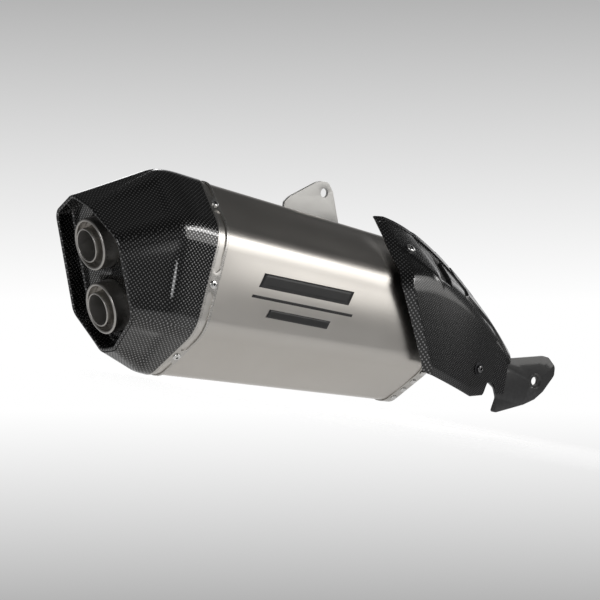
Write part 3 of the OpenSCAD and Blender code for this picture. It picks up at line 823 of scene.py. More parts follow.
def side_share(j: int, facet: int = SIDE_FACET) -> float:
    """Gives how far along a straight side column j lies, from 0 to 1, or -1 outside it."""
    step = (j - facet * (ARC + EDGE)) % (8 * (ARC + EDGE))
    return (step - ARC) / EDGE if ARC <= step <= ARC + EDGE else -1.0


@dataclass(frozen=True)
class CanShape:
    """The tall hexagonal section and how it runs from the outlet cut to the inlet cut."""

    x_out: float = -355.0
    length: float = 274.0
    half_w: float = 58.0
    outlet_half_h: float = 88.0
    inlet_half_h: float = 76.0
    side_half: float = 44.0
    top_flat: float = 8.0
    slant_out: float = 0.08
    slant_in: float = -0.03

    @property
    def x_in(self) -> float:
        """The inlet cut."""
        return self.x_out + self.length

    def half_h(self, u: float) -> float:
        """Gives half the height at share u of the length."""
        return mix(self.outlet_half_h, self.inlet_half_h, u)

    def flat_z(self, u: float) -> float:
        """Gives half the height of the flat side at share u."""
        return self.side_half * self.half_h(u) / self.outlet_half_h

    def corners(self, u: float) -> list[Vector]:
        """Gives the eight corners of the section as (y, z)."""
        w, h, z, f = self.half_w, self.half_h(u), self.flat_z(u), self.top_flat
        flat = ((w, z), (f, h), (-f, h), (-w, z), (-w, -z), (-f, -h), (f, -h), (w, -z))
        return [Vector((y, zz, 0)) for y, zz in flat]

    def place(self, u: float, p: Vector) -> Vector:
        """Puts a section point on the leaning plane at share u."""
        slant = mix(self.slant_out, self.slant_in, u)
        return Vector((mix(self.x_out, self.x_in, u) + slant * p.y, p.x, p.y))

    def ring(self, u: float, d: float = 0.0, crown: float = 0.0) -> Ring:
        """Gives the ring on the skin at share u.

        Args:
            u: Share of the length.
            d: Distance inwards from the skin.
            crown: Swell of the long sides at their middle.

        Returns:
            The ring's points.
        """
        radii = [max(r - d, 1) for r in SECTION_RADII]
        flat = rounded(inset(self.corners(u), d), radii, ARC, EDGE)
        if crown:
            for j, p in enumerate(flat):
                for facet in (0, 2, 3, 4, 6, 7):
                    s = side_share(j, facet)
                    if s >= 0:
                        a, b = self.corners(u)[facet], self.corners(u)[(facet + 1) % 8]
                        t = (b - a).normalized()
                        flat[j] = p + Vector((t.y, -t.x, 0)) * crown * math.sin(math.pi * s)
        return [self.place(u, p) for p in flat]

    def share(self, x: float) -> float:
        """Gives the share of the length at x."""
        return (x - self.x_out) / self.length

    def slope_point(self, u: float, s: float, sy: int, sz: int) -> Vector:
        """Gives a point on one of the four sloping sides, s from its side corner."""
        y = mix(self.half_w, self.top_flat, s)
        return self.place(u, Vector((sy * y, sz * mix(self.flat_z(u), self.half_h(u), s), 0)))

    def slope_normal(self, u: float, sy: int, sz: int) -> Vector:
        """Gives the outward direction of one of the four sloping sides."""
        width, rise = self.half_w - self.top_flat, self.half_h(u) - self.flat_z(u)
        fall = (self.outlet_half_h - self.inlet_half_h) / self.length
        return Vector((fall * 0.75 * width, sy * rise, sz * width)).normalized()


CAN = CanShape()


# ---------------------------------------------------------------- fasteners


@dataclass(frozen=True)
class Button:
    """A domed head with an optional hexagon socket, and a short shank."""

    head_d: float
    head_h: float
    socket: float
    shank_d: float
    shank_l: float

    def profile(self) -> list[tuple[float, float]]:
        """Gives the closed profile: two socket points first, then the dome and the shank."""
        r, h = self.head_d / 2, self.head_h
        key = max(self.socket / 2, 0.05)
        floor = h * (0.35 if self.socket else 0.999)
        dome = [
            (key + (r - key) * math.sin(a), h * 0.42 + h * 0.58 * math.cos(a))
            for a in (math.radians(x) for x in (12, 28, 44, 58, 72, 84, 90))
        ]
        return [
            (0.02, floor),
            (key * 0.96, floor),
            (key, floor + 0.05),
            (key, h * 0.97),
            (key * 1.08, h),
            *dome,
            (r, 0.12),
            (r - 0.12, 0.0),
            (self.shank_d / 2, 0.0),
            (self.shank_d / 2, -self.shank_l),
            (0.02, -self.shank_l),
        ]

    def put(self, build: Build, at: Vector, out: Vector, lift: float) -> None:
        """Adds the fastener to a mesh.

        Args:
            build: The mesh.
            at: Point on the surface.
            out: Outward direction.
            lift: Height of the head's underside above the point.
        """
        up = Vector((1, 0, 0)) if abs(out.normalized().x) < 0.9 else Vector((0, 0, 1))
        hexed = self.socket > 0
        shape = lambda i, a: hexagon_share(a) if hexed and i in (1, 2, 3) else 1.0
        build.lathe(self.profile(), at + out.normalized() * lift, out, up, 48, shape)

    def in_socket(self, point: Vector, at: Vector, out: Vector, lift: float) -> bool:
        """Tells whether a point lies in the socket of the fastener put at a point."""
        n = out.normalized()
        arm = point - at - n * lift
        height = arm.dot(n)
        inside = (arm - n * height).length < self.socket / 2 * 1.02
        return self.socket > 0 and inside and 0.2 * self.head_h < height < 0.96 * self.head_h


def capped(name: str, finish: Finish, node: str, spots: Sequence, button: Button,
           lift: float, body: str = ROOT_BODY) -> bpy.types.Object:
    """Makes one object of equal fasteners at every spot.

    Args:
        name: The object's name.
        finish: Its finish.
        node: The CAD node that it stands for.
        spots: Pairs of point and outward direction.
        button: The fastener.
        lift: Height of each head's underside above its point.
        body: The body it rides on.

    Returns:
        The object.
    """
    build = Build(name)
    for at, out in spots:
        button.put(build, at, out, lift)
    obj = build.make(sharp=38, body=body)
    finish.dress(obj)
    obj.data.materials.append(SOCKET_SHADE.material())
    # Faces inside each hexagon socket get the dark steel as painted shade.
    for poly in obj.data.polygons:
        if any(button.in_socket(poly.center / MM, at, out, lift) for at, out in spots):
            poly.material_index = 1
    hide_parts(node)
    return obj


# ---------------------------------------------------------------- sub-assemblies


@dataclass
class Sleeve:
    """The titanium sleeve and its plain printed bars."""

    gauge: float = 1.2
    crown: float = 1.8
    rows: int = 24
    print_lift: float = 0.05
    bars: tuple[tuple[float, float, float, float], ...] = (
        (-300.0, -196.0, 4.0, 17.0),
        (-306.0, -190.0, -6.0, -3.4),
        (-286.0, -216.0, -21.0, -13.5),
    )

    def skin_ring(self, u: float, d: float) -> Ring:
        """Gives a ring with the crown fading out at both cuts."""
        return CAN.ring(u, d, self.crown * math.sin(math.pi * clamp01(u)) ** 0.6)

    def build(self) -> list[bpy.types.Object]:
        """Builds the rolled sheet and the bars."""
        shell = Build("sleeve_sheet")
        shares = [i / self.rows for i in range(self.rows + 1)]
        rings = [self.skin_ring(u, 0) for u in shares]
        rings += [self.skin_ring(u, self.gauge) for u in reversed(shares)]
        shell.skin(rings, closed=True, looped=True)
        sheet = shell.make(sharp=40)
        TITANIUM.dress(sheet)
        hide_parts("outer_sleeve")
        return [sheet, *[self.bar(i, *sizes) for i, sizes in enumerate(self.bars)]]

    def side_y(self, u: float, z: float) -> float:
        """Gives y on the crowned outboard side at share u and height z."""
        flat = CAN.flat_z(u)
        swell = self.crown * math.sin(math.pi * u) ** 0.6
        return -CAN.half_w - swell * math.sin(math.pi * clamp01((flat - z) / (2 * flat)))

    def bar(self, number: int, x0: float, x1: float, z0: float, z1: float) -> bpy.types.Object:
        """Builds one slanted printed bar that follows the crowned side."""
        build = Build(f"marking_bar_{number + 1}")
        lean = 0.35
        across, up = 24, 4
        rows = []
        for i in range(across + 1):
            row = []
            for k in range(up + 1):
                z = mix(z0, z1, k / up)
                x = mix(x0, x1, i / across) + lean * (z - z0)
                row.append(Vector((x, self.side_y(CAN.share(x), z) - self.print_lift, z)))
            rows.append(row)
        build.skin(rows)
        obj = build.make()
        add_thickness(obj, 0.03, 0.0)
        BLACK_PRINT.dress(obj)
        return obj


@dataclass
class OutletBand:
    """The pierced strap that clamps the end cap, with six bright button screws."""

    width: float = 12.0
    gauge: float = 1.2
    edge: float = 2.6
    node_half: float = 8.0
    screw_share: float = 0.54
    mid_z: float = -2.0
    lay: float = 0.1

    def spots(self) -> list[tuple[Vector, Vector]]:
        """Gives the six screw points with their outward directions."""
        u = self.width / 2 / CAN.length
        out = []
        for sy in (-1, 1):
            for sz in (-1, 1):
                point = CAN.slope_point(u, self.screw_share, sy, sz)
                out.append((point, CAN.slope_normal(u, sy, sz)))
            out.append((CAN.place(u, Vector((sy * CAN.half_w, self.mid_z, 0))), Vector((0, sy, 0))))
        return out

    def build(self) -> list[bpy.types.Object]:
        """Builds the strap and its screws."""
        u1 = self.width / CAN.length
        rear, front = CAN.ring(0, -self.lay), CAN.ring(u1, -self.lay)
        n = len(rear)
        run = [0.0]
        for j in range(n):
            run.append(run[-1] + (rear[(j + 1) % n] - rear[j]).length)
        total = run[-1]

        def at(s: float, w: float) -> Vector:
            """Gives the strap's point at run s and share w of its width."""
            s %= total
            j = next(k for k in range(n) if run[k + 1] > s or k == n - 1)
            f = (s - run[j]) / (run[j + 1] - run[j])
            a = rear[j].lerp(rear[(j + 1) % n], f)
            b = front[j].lerp(front[(j + 1) % n], f)
            return a.lerp(b, w)

        anchors = sorted(
            run[min(range(n), key=lambda j: (rear[j] - p).length_squared)] for p, _ in self.spots()
        )
        opening = self.width / 2 - self.edge

        def gap(s: float) -> float:
            """Gives half the window's width at run s."""
            near = min(min((s - a) % total, (a - s) % total) for a in anchors)
            return max(0.0, min(opening, near - self.node_half))

        marks = {round(r, 3) for r in run[:-1]}
        for a in anchors:
            for side in (-1, 1):
                for reach in (0, self.node_half, self.node_half + opening):
                    marks.add(round((a + side * reach) % total, 3))
        stations = sorted(marks)
        rows = []
        for s in stations:
            share = gap(s) / self.width
            rows.append([at(s, w) for w in (0, 0.5 - share, 0.5 + share, 1)])
        strap = Build("outlet_strap")
        m = len(rows)
        first = strap.add([p for row in rows for p in row])
        for i in range(m):
            a, b = first + 4 * i, first + 4 * ((i + 1) % m)
            for j in (0, 2):
                strap.face(a + j, b + j, b + j + 1, a + j + 1)
        obj = strap.make(sharp=40)
        add_thickness(obj, self.gauge, self.outward(obj))
        add_bevel(obj, 0.22, 2, 50)
        BAND_STEEL.dress(obj)
        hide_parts("outlet_band")
        screws = capped(
            "strap_screws", BRIGHT_STEEL, "outlet_band_screws", self.spots(),
            Button(7.5, 2.0, 2.6, 3.9, 5.0), self.gauge + 0.15,
        )
        return [obj, screws]

    @staticmethod
    def outward(obj: bpy.types.Object) -> float:
        """Gives the thickness offset that grows away from the can's axis."""
        best = max(obj.data.polygons, key=lambda p: p.center.z)
        return 1.0 if best.normal.z > 0 else -1.0


@dataclass
class EndCap:
    """The carbon cap with its sunken side panel, rolled rim and outlet recess."""

    length: float = 81.0
    lean: float = math.radians(23.7)
    collar: float = 25.0
    laminate: float = 2.4
    recess: float = 16.0
    panel_step: float = 3.6
    ramp: float = 0.13
    ramp_start: float = 0.03
    ramp_lean: float = 0.14
    lip: float = 1.6
    root: float = 2.5
    rim_extra: float = 0.9
    sunk_facets: tuple[int, ...] = (0, 2, 3, 4, 6, 7)
    side_shares: tuple[float, ...] = (
        0.145, 0.16, 0.175, 0.19, 0.21, 0.24, 0.3, 0.38, 0.48, 0.58, 0.68, 0.78, 0.87, 0.93, 0.965
    )
    outlet_y: float = 2.0
    outlet_mid: float = -15.0
    pitch: float = 57.0
    ring_d: float = 46.0
    rim_corners: tuple[tuple[float, float], ...] = (
        (50, 37), (17, 53), (-9, 45), (-46, 20), (-48, -44), (-9, -73), (14, -77), (50, -47)
    )
    rim_radii: tuple[float, ...] = (12, 14, 18, 19, 19, 15, 13, 12)
    collar_corners: tuple[Vector, ...] = field(
        default_factory=lambda: tuple(
            Vector((y, z + 1.5, 0))
            for y, z in (
                (60, 45), (8, 90), (-8, 90), (-60, 45), (-60, -45), (-8, -90), (8, -90), (60, -45)
            )
        )
    )

    @property
    def axis(self) -> Vector:
        """Direction in which both outlets point."""
        return Vector((-math.cos(self.lean), 0, -math.sin(self.lean)))

    @property
    def up(self) -> Vector:
        """Direction up the leaning rim."""
        return Vector((-math.sin(self.lean), 0, math.cos(self.lean)))

    def outlet(self, sign: int) -> Vector:
        """Gives the centre of an outlet in the rim plane; sign 1 is the upper one."""
        reach = self.outlet_mid + sign * self.pitch / 2
        return Vector((CAN.x_out - self.length, self.outlet_y, 0)) + self.up * reach

    def collar_ring(self, d: float) -> Ring:
        """Gives the widest ring of the collar."""
        radii = [max(r - d, 1) for r in SECTION_RADII]
        flat = rounded(inset(self.collar_corners, d), radii, ARC, EDGE)
        return [Vector((CAN.x_out - self.collar - 0.09 * p.y, p.x, p.y)) for p in flat]

    def rim_ring(self, d: float, out: float = 0.0) -> Ring:
        """Gives the rim's ring moved inwards by d and outwards along the outlets."""
        radii = [max(r - d, 1) for r in self.rim_radii]
        corners = [Vector((y, z, 0)) for y, z in self.rim_corners]
        flat = rounded(inset(corners, d), radii, ARC, EDGE)
        x = CAN.x_out - self.length
        return [Vector((x - math.tan(self.lean) * p.y, p.x, p.y)) + self.axis * out for p in flat]

    def sunk(self, j: int, v: float) -> Vector:
        """Gives how far a long side's panel moves inwards at column j and share v to the rim."""
        for facet in self.sunk_facets:
            s = side_share(j, facet)
            if s >= 0:
                a, b = self.collar_corners[facet], self.collar_corners[(facet + 1) % 8]
                t = (b - a).normalized()
                shore = smooth(min(s, 1 - s) / 0.16)
                start = self.ramp_start + self.ramp_lean * (s if facet < 4 else 1 - s)
                depth = self.panel_step * smooth((v - start) / self.ramp) * (1 - v) * shore
                return Vector((0, -t.y, t.x)) * depth
        return Vector()

    def side_ring(self, v: float) -> Ring:
        """Gives the ring at share v from the collar to the rim, with the panels sunk."""
        a, b = self.collar_ring(0), self.rim_ring(0)
        return [p.lerp(q, v) + self.sunk(j, v) for j, (p, q) in enumerate(zip(a, b))]

    def crest_ring(self, s: float, before: float = 0.5, after: float = 0.13) -> Ring:
        """Gives a ring of the rounded crest over the collar.

        Args:
            s: Share from the start of the crest to its end.
            before: Where the crest starts between the border and the collar.
            after: Where it ends between the collar and the rim.

        Returns:
            The ring's points.
        """
        border, collar, rim = CAN.ring(0, -1.26), self.collar_ring(0), self.rim_ring(0)
        out = []
        for j, (p, c, q) in enumerate(zip(border, collar, rim)):
            a, b = p.lerp(c, before), c.lerp(q, after)
            curve = a * (1 - s) ** 2 + c * 2 * s * (1 - s) + b * s * s
            out.append(curve + self.sunk(j, after * s * s))
        return out

    def shell_rows(self) -> list[Ring]:
        """Gives the rings from the border over the collar, the rim and the recess wall."""
        border = CAN.ring(0, -1.26)
        rows = [CAN.ring(0.004, 0.9), CAN.ring(0.0, 0.2), CAN.ring(-0.0006, -0.9), border]
        first = self.crest_ring(0)
        rows += [[p.lerp(q, k / 4) for p, q in zip(border, first)] for k in range(1, 4)]
        rows += [self.crest_ring(k / 8) for k in range(9)]
        rows += [self.side_ring(v) for v in self.side_shares]
        for k in range(7):
            a = math.pi / 2 * k / 6
            rows.append(self.rim_ring(self.lip * (1 - math.cos(a)), self.lip * (math.sin(a) - 1)))
        inner = self.laminate + self.rim_extra
        for k in range(7):
            a = math.pi / 2 * k / 6
            rows.append(
                self.rim_ring(inner - self.lip * (1 - math.sin(a)), self.lip * (math.cos(a) - 1))
            )
        for depth in (3, 6, 10, 13):
            rows.append(self.rim_ring(inner, -depth))
        for k in range(5):
            a = math.pi / 2 * k / 4
            rows.append(
                self.rim_ring(
                    inner + self.root * (1 - math.cos(a)),
                    -self.recess + self.root * (1 - math.sin(a)),
                )
            )
        return rows

    def build(self) -> list[bpy.types.Object]:
        """Builds the laminate with its recess panel."""
        cap = Build("carbon_end_cap")
        rows = self.shell_rows()
        wall_start = len(rows) - 9

        def facet(i: int, j: int) -> int:
            """Groups faces: skin by side, then the recess wall by side."""
            side = ring_facet(j)
            return side if i < wall_start else 20 + side

        cap.skin(rows, closed=True, facet=facet)
        x, y, _ = frame_from(self.axis, self.up)
        holes = [
            circle(self.outlet(sign) - self.axis * self.recess, x, y, self.ring_d / 2 + 0.2)
            for sign in (-1, 1)
        ]
        fill_plate(cap, rows[-1], holes, facet=40)
        obj = cap.make(sharp=48, recalc=True)
        add_thickness(obj, 0.6, -1.0)
        CAP_CARBON.dress(obj)
        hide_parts("end_cap")
        return [obj]


@dataclass
class Outlet:
    """One polished outlet ring with its removable noise insert and dark screw."""

    cap: EndCap
    sign: int
    wall: float = 3.0
    neck_wall: float = 1.8
    floor: float = 8.0
    flange: float = 2.0
    bore: float = 27.0
    tube: float = 1.6
    proud: float = 3.0
    tube_l: float = 62.0
    screw_angle: float = math.radians(229)

    @property
    def word(self) -> str:
        """Upper or lower."""
        return "upper" if self.sign > 0 else "lower"

    def turned(self, name: str, corners: Sequence[tuple[float, float]], radii: Sequence[float],
               body: str) -> bpy.types.Object:
        """Turns a rounded profile on the outlet's axis."""
        build = Build(f"{name}_{self.word}")
        build.lathe(arc_points(corners, radii, 6), self.cap.outlet(self.sign), self.cap.axis,
                    self.cap.up, 128)
        return build.make(sharp=40, body=body)

    def build(self) -> list[bpy.types.Object]:
        """Builds the ring, the insert and the screw."""
        outer = self.cap.ring_d / 2
        seat = outer - self.wall
        neck = seat - self.neck_wall
        tube_r = self.bore / 2 + self.tube
        back, low = -46.0, -self.floor - self.flange
        land = tube_r + 0.5
        ring = self.turned(
            "outlet_ring",
            [(neck, back), (neck + self.neck_wall, back), (neck + self.neck_wall, -20.4),
             (outer, -20.4), (outer, 0.0), (seat, 0.0), (seat, low), (land, low),
             (land, low - 9), (neck, low - 9)],
            [0.3, 0.3, 1, 1, 1.4, 1.4, 0.3, 0.3, 0.3, 0.3],
            ROOT_BODY,
        )
        body = f"insert_{self.word}"
        insert = self.turned(
            "noise_insert",
            [(self.bore / 2, -self.tube_l), (tube_r, -self.tube_l), (tube_r, low),
             (seat - 0.06, low), (seat - 0.06, -self.floor), (tube_r, -self.floor),
             (tube_r, self.proud), (self.bore / 2, self.proud)],
            [0.3, 0.3, 0.3, 0.2, 0.4, 1.4, 0.75, 0.75],
            body,
        )
        for obj, node in ((ring, "outlet_ring"), (insert, "noise_insert")):
            TIP_STEEL.dress(obj)
            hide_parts(f"{node}_{self.word}")
        self.soot(insert)
        x, y, _ = frame_from(self.cap.axis, self.cap.up)
        reach = (seat + tube_r) / 2
        out = x * math.cos(self.screw_angle) + y * math.sin(self.screw_angle)
        at = self.cap.outlet(self.sign) + out * reach - self.cap.axis * self.floor
        screw = capped(
            f"insert_screw_head_{self.word}", BLACK_OXIDE,
            f"insert_screw_{self.word}", [(at, self.cap.axis)], Button(4.4, 1.6, 2.0, 2.9, 8.8),
            0.02, body,
        )
        return [ring, insert, screw]

    def soot(self, obj: bpy.types.Object) -> None:
        """Darkens the faces of the bore behind the mouth."""
        obj.data.materials.append(BORE_STEEL.material())
        centre, axis = self.cap.outlet(self.sign) * MM, self.cap.axis
        limit = (self.bore / 2 + 0.4) * MM
        for poly in obj.data.polygons:
            arm = poly.center - centre
            depth = arm.dot(axis)
            if (arm - axis * depth).length < limit and depth < 0.5 * MM:
                poly.material_index = 1


@dataclass
class InletEnd:
    """The narrow inlet strap with its rivets; the rest of the inlet end is the CAD's."""

    width: float = 9.0
    gauge: float = 1.2

    def spots(self) -> list[tuple[Vector, Vector]]:
        """Gives the rivet points with their outward directions."""
        u = 1 - self.width / 2 / CAN.length
        out = []
        for sy in (-1, 1):
            for sz in (-1, 1):
                for s in (0.14, 0.38, 0.62, 0.86):
                    out.append((CAN.slope_point(u, s, sy, sz), CAN.slope_normal(u, sy, sz)))
            for z in (-20, 0, 20):
                out.append((CAN.place(u, Vector((sy * CAN.half_w, z, 0))), Vector((0, sy, 0))))
        return out

    def build(self) -> list[bpy.types.Object]:
        """Builds the strap and the rivets."""
        u0 = 1 - self.width / CAN.length
        low, high = -0.08, -0.08 - self.gauge
        strap = Build("inlet_strap")
        rings = [CAN.ring(u0, low), CAN.ring(u0, high), CAN.ring(1, high), CAN.ring(1, low)]
        strap.skin(rings, closed=True, looped=True)
        obj = strap.make(sharp=40)
        add_bevel(obj, 0.3, 3, 50)
        BAND_STEEL.dress(obj)
        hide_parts("inlet_band")
        rivets = capped(
            "inlet_rivets", RIVET_ALLOY, "inlet_band_rivets", self.spots(),
            Button(6.0, 1.4, 0.0, 3.1, 4.0), self.gauge + 0.1,
        )
        return [obj, rivets]


@dataclass
class HangerTab:
    """The blasted tab on the inboard slope with its curved foot and four rivets."""

    x: float = -179.0
    y: float = 30.0
    gauge: float = 3.0
    hole_z: float = 108.0
    hole_d: float = 9.0
    foot_l: float = 84.0
    foot_t: float = 2.0

    def spots(self) -> list[tuple[Vector, Vector]]:
        """Gives the rivet points with their outward directions."""
        out = []
        for dx in (-34, 34):
            u = CAN.share(self.x + dx)
            out += [(CAN.slope_point(u, s, 1, 1), CAN.slope_normal(u, 1, 1)) for s in (0.36, 0.84)]
        return out

    def plate(self) -> bpy.types.Object:
        """Builds the upright plate with its round hole."""
        x0, x1, z = self.x - self.foot_l / 2, self.x + self.foot_l / 2, self.hole_z
        r = self.hole_d / 2 + 6
        outline = arc_points(
            [(x0 + 3, 64), (x0 + 1, z - 17), (x0 + 6, z - 11), (self.x - 8, z + 8),
             (self.x - 1, z + r), (self.x + 7, z + r), (self.x + 14, z + 3), (x1 - 15, z - 24),
             (x1 - 12, 64)],
            [0.5, 3, 6, 14, 5, 5, 7, 12, 0.5], 6,
        )
        y = self.y
        build = Build("hanger_tab_plate")
        flat = [Vector((px, y, pz)) for px, pz in outline]
        centre = Vector((self.x + 4, y, z))
        hole = circle(centre, Vector((1, 0, 0)), Vector((0, 0, 1)), self.hole_d / 2)
        fill_plate(build, flat, [hole])
        obj = build.make(sharp=40, recalc=False)
        inboard = sum(p.normal.y for p in obj.data.polygons) > 0
        add_thickness(obj, self.gauge, 1.0 if inboard else -1.0)
        add_bevel(obj, 0.45, 3, 50)
        return obj

    def foot(self) -> bpy.types.Object:
        """Builds the foot that lies along the slope."""
        x0, x1 = self.x - self.foot_l / 2, self.x + self.foot_l / 2
        rows = []
        for k in range(13):
            x = mix(x0, x1, k / 12)
            u = CAN.share(x)
            out = CAN.slope_normal(u, 1, 1)
            rows.append([CAN.slope_point(u, mix(0.22, 0.9, i / 8), 1, 1) + out * 0.1 for i in range(9)])
        build = Build("hanger_tab_foot")
        build.skin(rows)
        obj = build.make(recalc=False)
        up = sum(p.normal.z for p in obj.data.polygons) > 0
        add_thickness(obj, self.foot_t, 1.0 if up else -1.0)
        add_bevel(obj, 0.6, 3, 50)
        return obj

    def build(self) -> list[bpy.types.Object]:
        """Builds plate, foot and rivets."""
        plate, foot = self.plate(), self.foot()
        for obj in (plate, foot):
            BLASTED.dress(obj)
            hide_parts("tab_bracket")
        rivets = capped(
            "tab_rivet_heads", RIVET_ALLOY, "tab_rivets", self.spots(),
            Button(6.0, 1.4, 0.0, 3.1, 4.0), self.foot_t + 0.1,
        )
        return [plate, foot, rivets]


@dataclass
class HeatShield:
    """The carbon shield with its rolled rear flange, its black ear and its bolts."""

    rear: float = -143.0
    length: float = 160.0
    out: float = 72.0
    laminate: float = 1.6
    rolled: float = 0.069
    rolled_in: float = 4.5
    top: float = 90.0
    drop: float = 102.0
    ear_l: float = 67.0
    ear_t: float = 2.4
    upper: tuple[float, float] = (0.15, 8.01)
    lower: tuple[float, float] = (0.645, 1.55)
    columns: int = 110
    ridge: float = 2.2
    boss: float = 0.9
    pocket: float = 3.6
    pocket_shade_depth: float = -1.2
    flange_rows: int = 6
    flange_mark: int = 10
    notch: tuple[tuple[float, float], ...] = (
        (-47, -80), (-45, -54), (-34, -42), (-21, -42), (-11, -51), (-9, -80)
    )

    @property
    def front(self) -> float:
        """Front edge of the shield."""
        return self.rear + self.length

    def top_z(self, s: float) -> float:
        """Gives the top edge's height at share s."""
        return self.top - self.drop * s * s - self.rolled_in / 2 * max(0, 1 - s / self.rolled)

    def face_y(self, s: float) -> float:
        """Gives the face's distance outboard at share s."""
        tuck = self.rolled_in * max(0, 1 - s / self.rolled)
        return -self.out + 12 * min(1, s / 0.85) ** 2 + tuck

    def section(self, s: float, bend_steps: int = 4) -> list[Vector]:
        """Gives the shield's section at share s from the bottom edge to the top edge.

        Args:
            s: Share from the rear edge to the front edge.
            bend_steps: Steps in each of the two bends.

        Returns:
            Points as (y, z).
        """
        ys, yt, zt = self.face_y(s), -15 - 43 * s**2.2, self.top_z(s)
        zb = -43 - 15 * min(1, s / 0.53) + 17 * max(0, s - 0.53)
        b0, b1 = Vector((ys + 2 * (1 - s), zb)), Vector((ys, zb + 9))
        c, t, e = Vector((ys, zt - mix(50, 4, s))), Vector((yt, zt)), Vector((yt + 0.6, zt + 0.6))
        rc = min(14, 0.45 * (t - c).length, 0.45 * (c - b1).length)
        rt = min(9, 0.45 * (t - c).length)
        c1, c2 = c + (b1 - c).normalized() * rc, c + (t - c).normalized() * rc
        t1, t2 = t + (c - t).normalized() * rt, t + (e - t).normalized() * rt

        def bend(a: Vector, k: Vector, b: Vector) -> list[Vector]:
            """Gives the points of one bend."""
            shares = [i / bend_steps for i in range(bend_steps + 1)]
            return [a * (1 - q) ** 2 + k * 2 * q * (1 - q) + b * q * q for q in shares]

        return [b0, b1, (b1 + c1) / 2, *bend(c1, c, c2), (c2 + t1) / 2, *bend(t1, t, t2), e]

    def point(self, s: float, p: Vector) -> Vector:
        """Puts a section point at share s of the length."""
        rear = self.rear + 0.6 * max(0, 32 - p.y)
        return Vector((mix(rear, self.front, s), p.x, p.y))

    def at(self, s: float, q: float) -> Vector:
        """Gives the surface point at share s and place q along the coarse section."""
        row = [self.point(s, p) for p in self.section(s)]
        j = int(q)
        return row[j].lerp(row[j + 1], q - j)

    def normal(self, s: float, q: float) -> Vector:
        """Gives the outward direction at a surface point."""
        run = self.at(s + 0.01, q) - self.at(s - 0.01, q)
        rise = self.at(s, q + 0.1) - self.at(s, q - 0.1)
        return run.cross(rise).normalized()

    def notch_z(self, x: float) -> float:
        """Gives the lower edge's height inside the notch at x, or far below outside it."""
        edge = [(self.front + dx, z) for dx, z in self.notch]
        for (xa, za), (xb, zb) in zip(edge, edge[1:]):
            if xa <= x <= xb:
                return mix(za, zb, smooth((x - xa) / (xb - xa)))
        return -200.0

    def relief(self, s: float, q: float) -> float:
        """Gives how far the skin stands proud at share s and section share q from 0 to 1.

        Args:
            s: Share from the rear edge to the front edge.
            q: Share from the bottom edge to the top edge.

        Returns:
            Millimetres outwards, negative inside the pocket.
        """
        line = mix(0.575, 0.70, clamp01((s - 0.66) / 0.34) ** 1.2)
        edge = mix(0.525, 0.575, clamp01((q - 0.59) / 0.27))
        lift = self.ridge * smooth((q - line) / 0.03) * smooth((s - edge) / 0.02)
        lift += self.boss * smooth((q + 0.9 * s - 0.76) / 0.03) * smooth((0.32 - s) / 0.05)
        middle = mix(0.335, 0.435, (q - 0.55) / 0.29)
        box = max(abs(s - middle) / 0.045, abs(q - 0.72) / 0.165)
        lift -= self.pocket * smooth((1.0 - box) / 0.2)
        return lift

    def dense_row(self, s: float) -> Ring:
        """Gives a fine, evenly spread row of points at share s, bottom edge first."""
        raw = self.section(s, 10)
        low = self.notch_z(mix(self.rear, self.front, s))
        run = [0.0]
        for p, q in zip(raw, raw[1:]):
            run.append(run[-1] + (q - p).length)
        spread = []
        j = 0
        for k in range(self.columns + 1):
            want = run[-1] * k / self.columns
            while j < len(raw) - 2 and run[j + 1] < want:
                j += 1
            spread.append(raw[j].lerp(raw[j + 1], (want - run[j]) / (run[j + 1] - run[j])))
        row = []
        for k, p in enumerate(spread):
            a, b = spread[max(k - 1, 0)], spread[min(k + 1, self.columns)]
            t = (b - a).normalized()
            q = k / self.columns
            fade = smooth(min(q, 1 - q) / 0.04)
            lifted = p + Vector((-t.y, t.x)) * self.relief(s, q) * fade
            row.append(self.point(s, Vector((lifted.x, max(lifted.y, low + 0.02 * k)))))
        return row

    def panel(self) -> bpy.types.Object:
        """Builds the laminate with its rolled flange, ridge, pocket and front notch, and paints shade in
        the deep pocket.
        """
        shares = [0, 0.012, 0.024, 0.036, 0.048, 0.06, self.rolled, 0.078, 0.09]
        shares += [0.09 + 0.91 * i / 130 for i in range(1, 131)]
        build = Build("carbon_heat_shield")
        build.skin(
            [self.dense_row(s) for s in shares],
            facet=lambda i, j: self.flange_mark if i < self.flange_rows else 0,
        )
        obj = build.make(sharp=60, recalc=False)
        outward = sum(p.normal.y * p.area for p in obj.data.polygons) < 0
        SHIELD_CARBON.dress(obj)
        obj.data.materials.append(FLANGE_CARBON.material())
        obj.data.materials.append(POCKET_PAINTED_SHADE.material())
        marks = obj.data.attributes["facet"].data
        for poly in obj.data.polygons:
            i, j = divmod(poly.index, self.columns)
            middle = (shares[i] + shares[i + 1]) / 2
            if marks[poly.index].value >= self.flange_mark:
                poly.material_index = 1
            # Faces sunk deeper than this depth in the pocket get the near-black material as painted
            # shade.
            elif self.relief(middle, (j + 0.5) / self.columns) < self.pocket_shade_depth:
                poly.material_index = 2
        add_thickness(obj, self.laminate, -1.0 if outward else 1.0, even=False)
        add_bevel(obj, 0.3, 2, 60)
        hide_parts("heat_shield")
        return obj

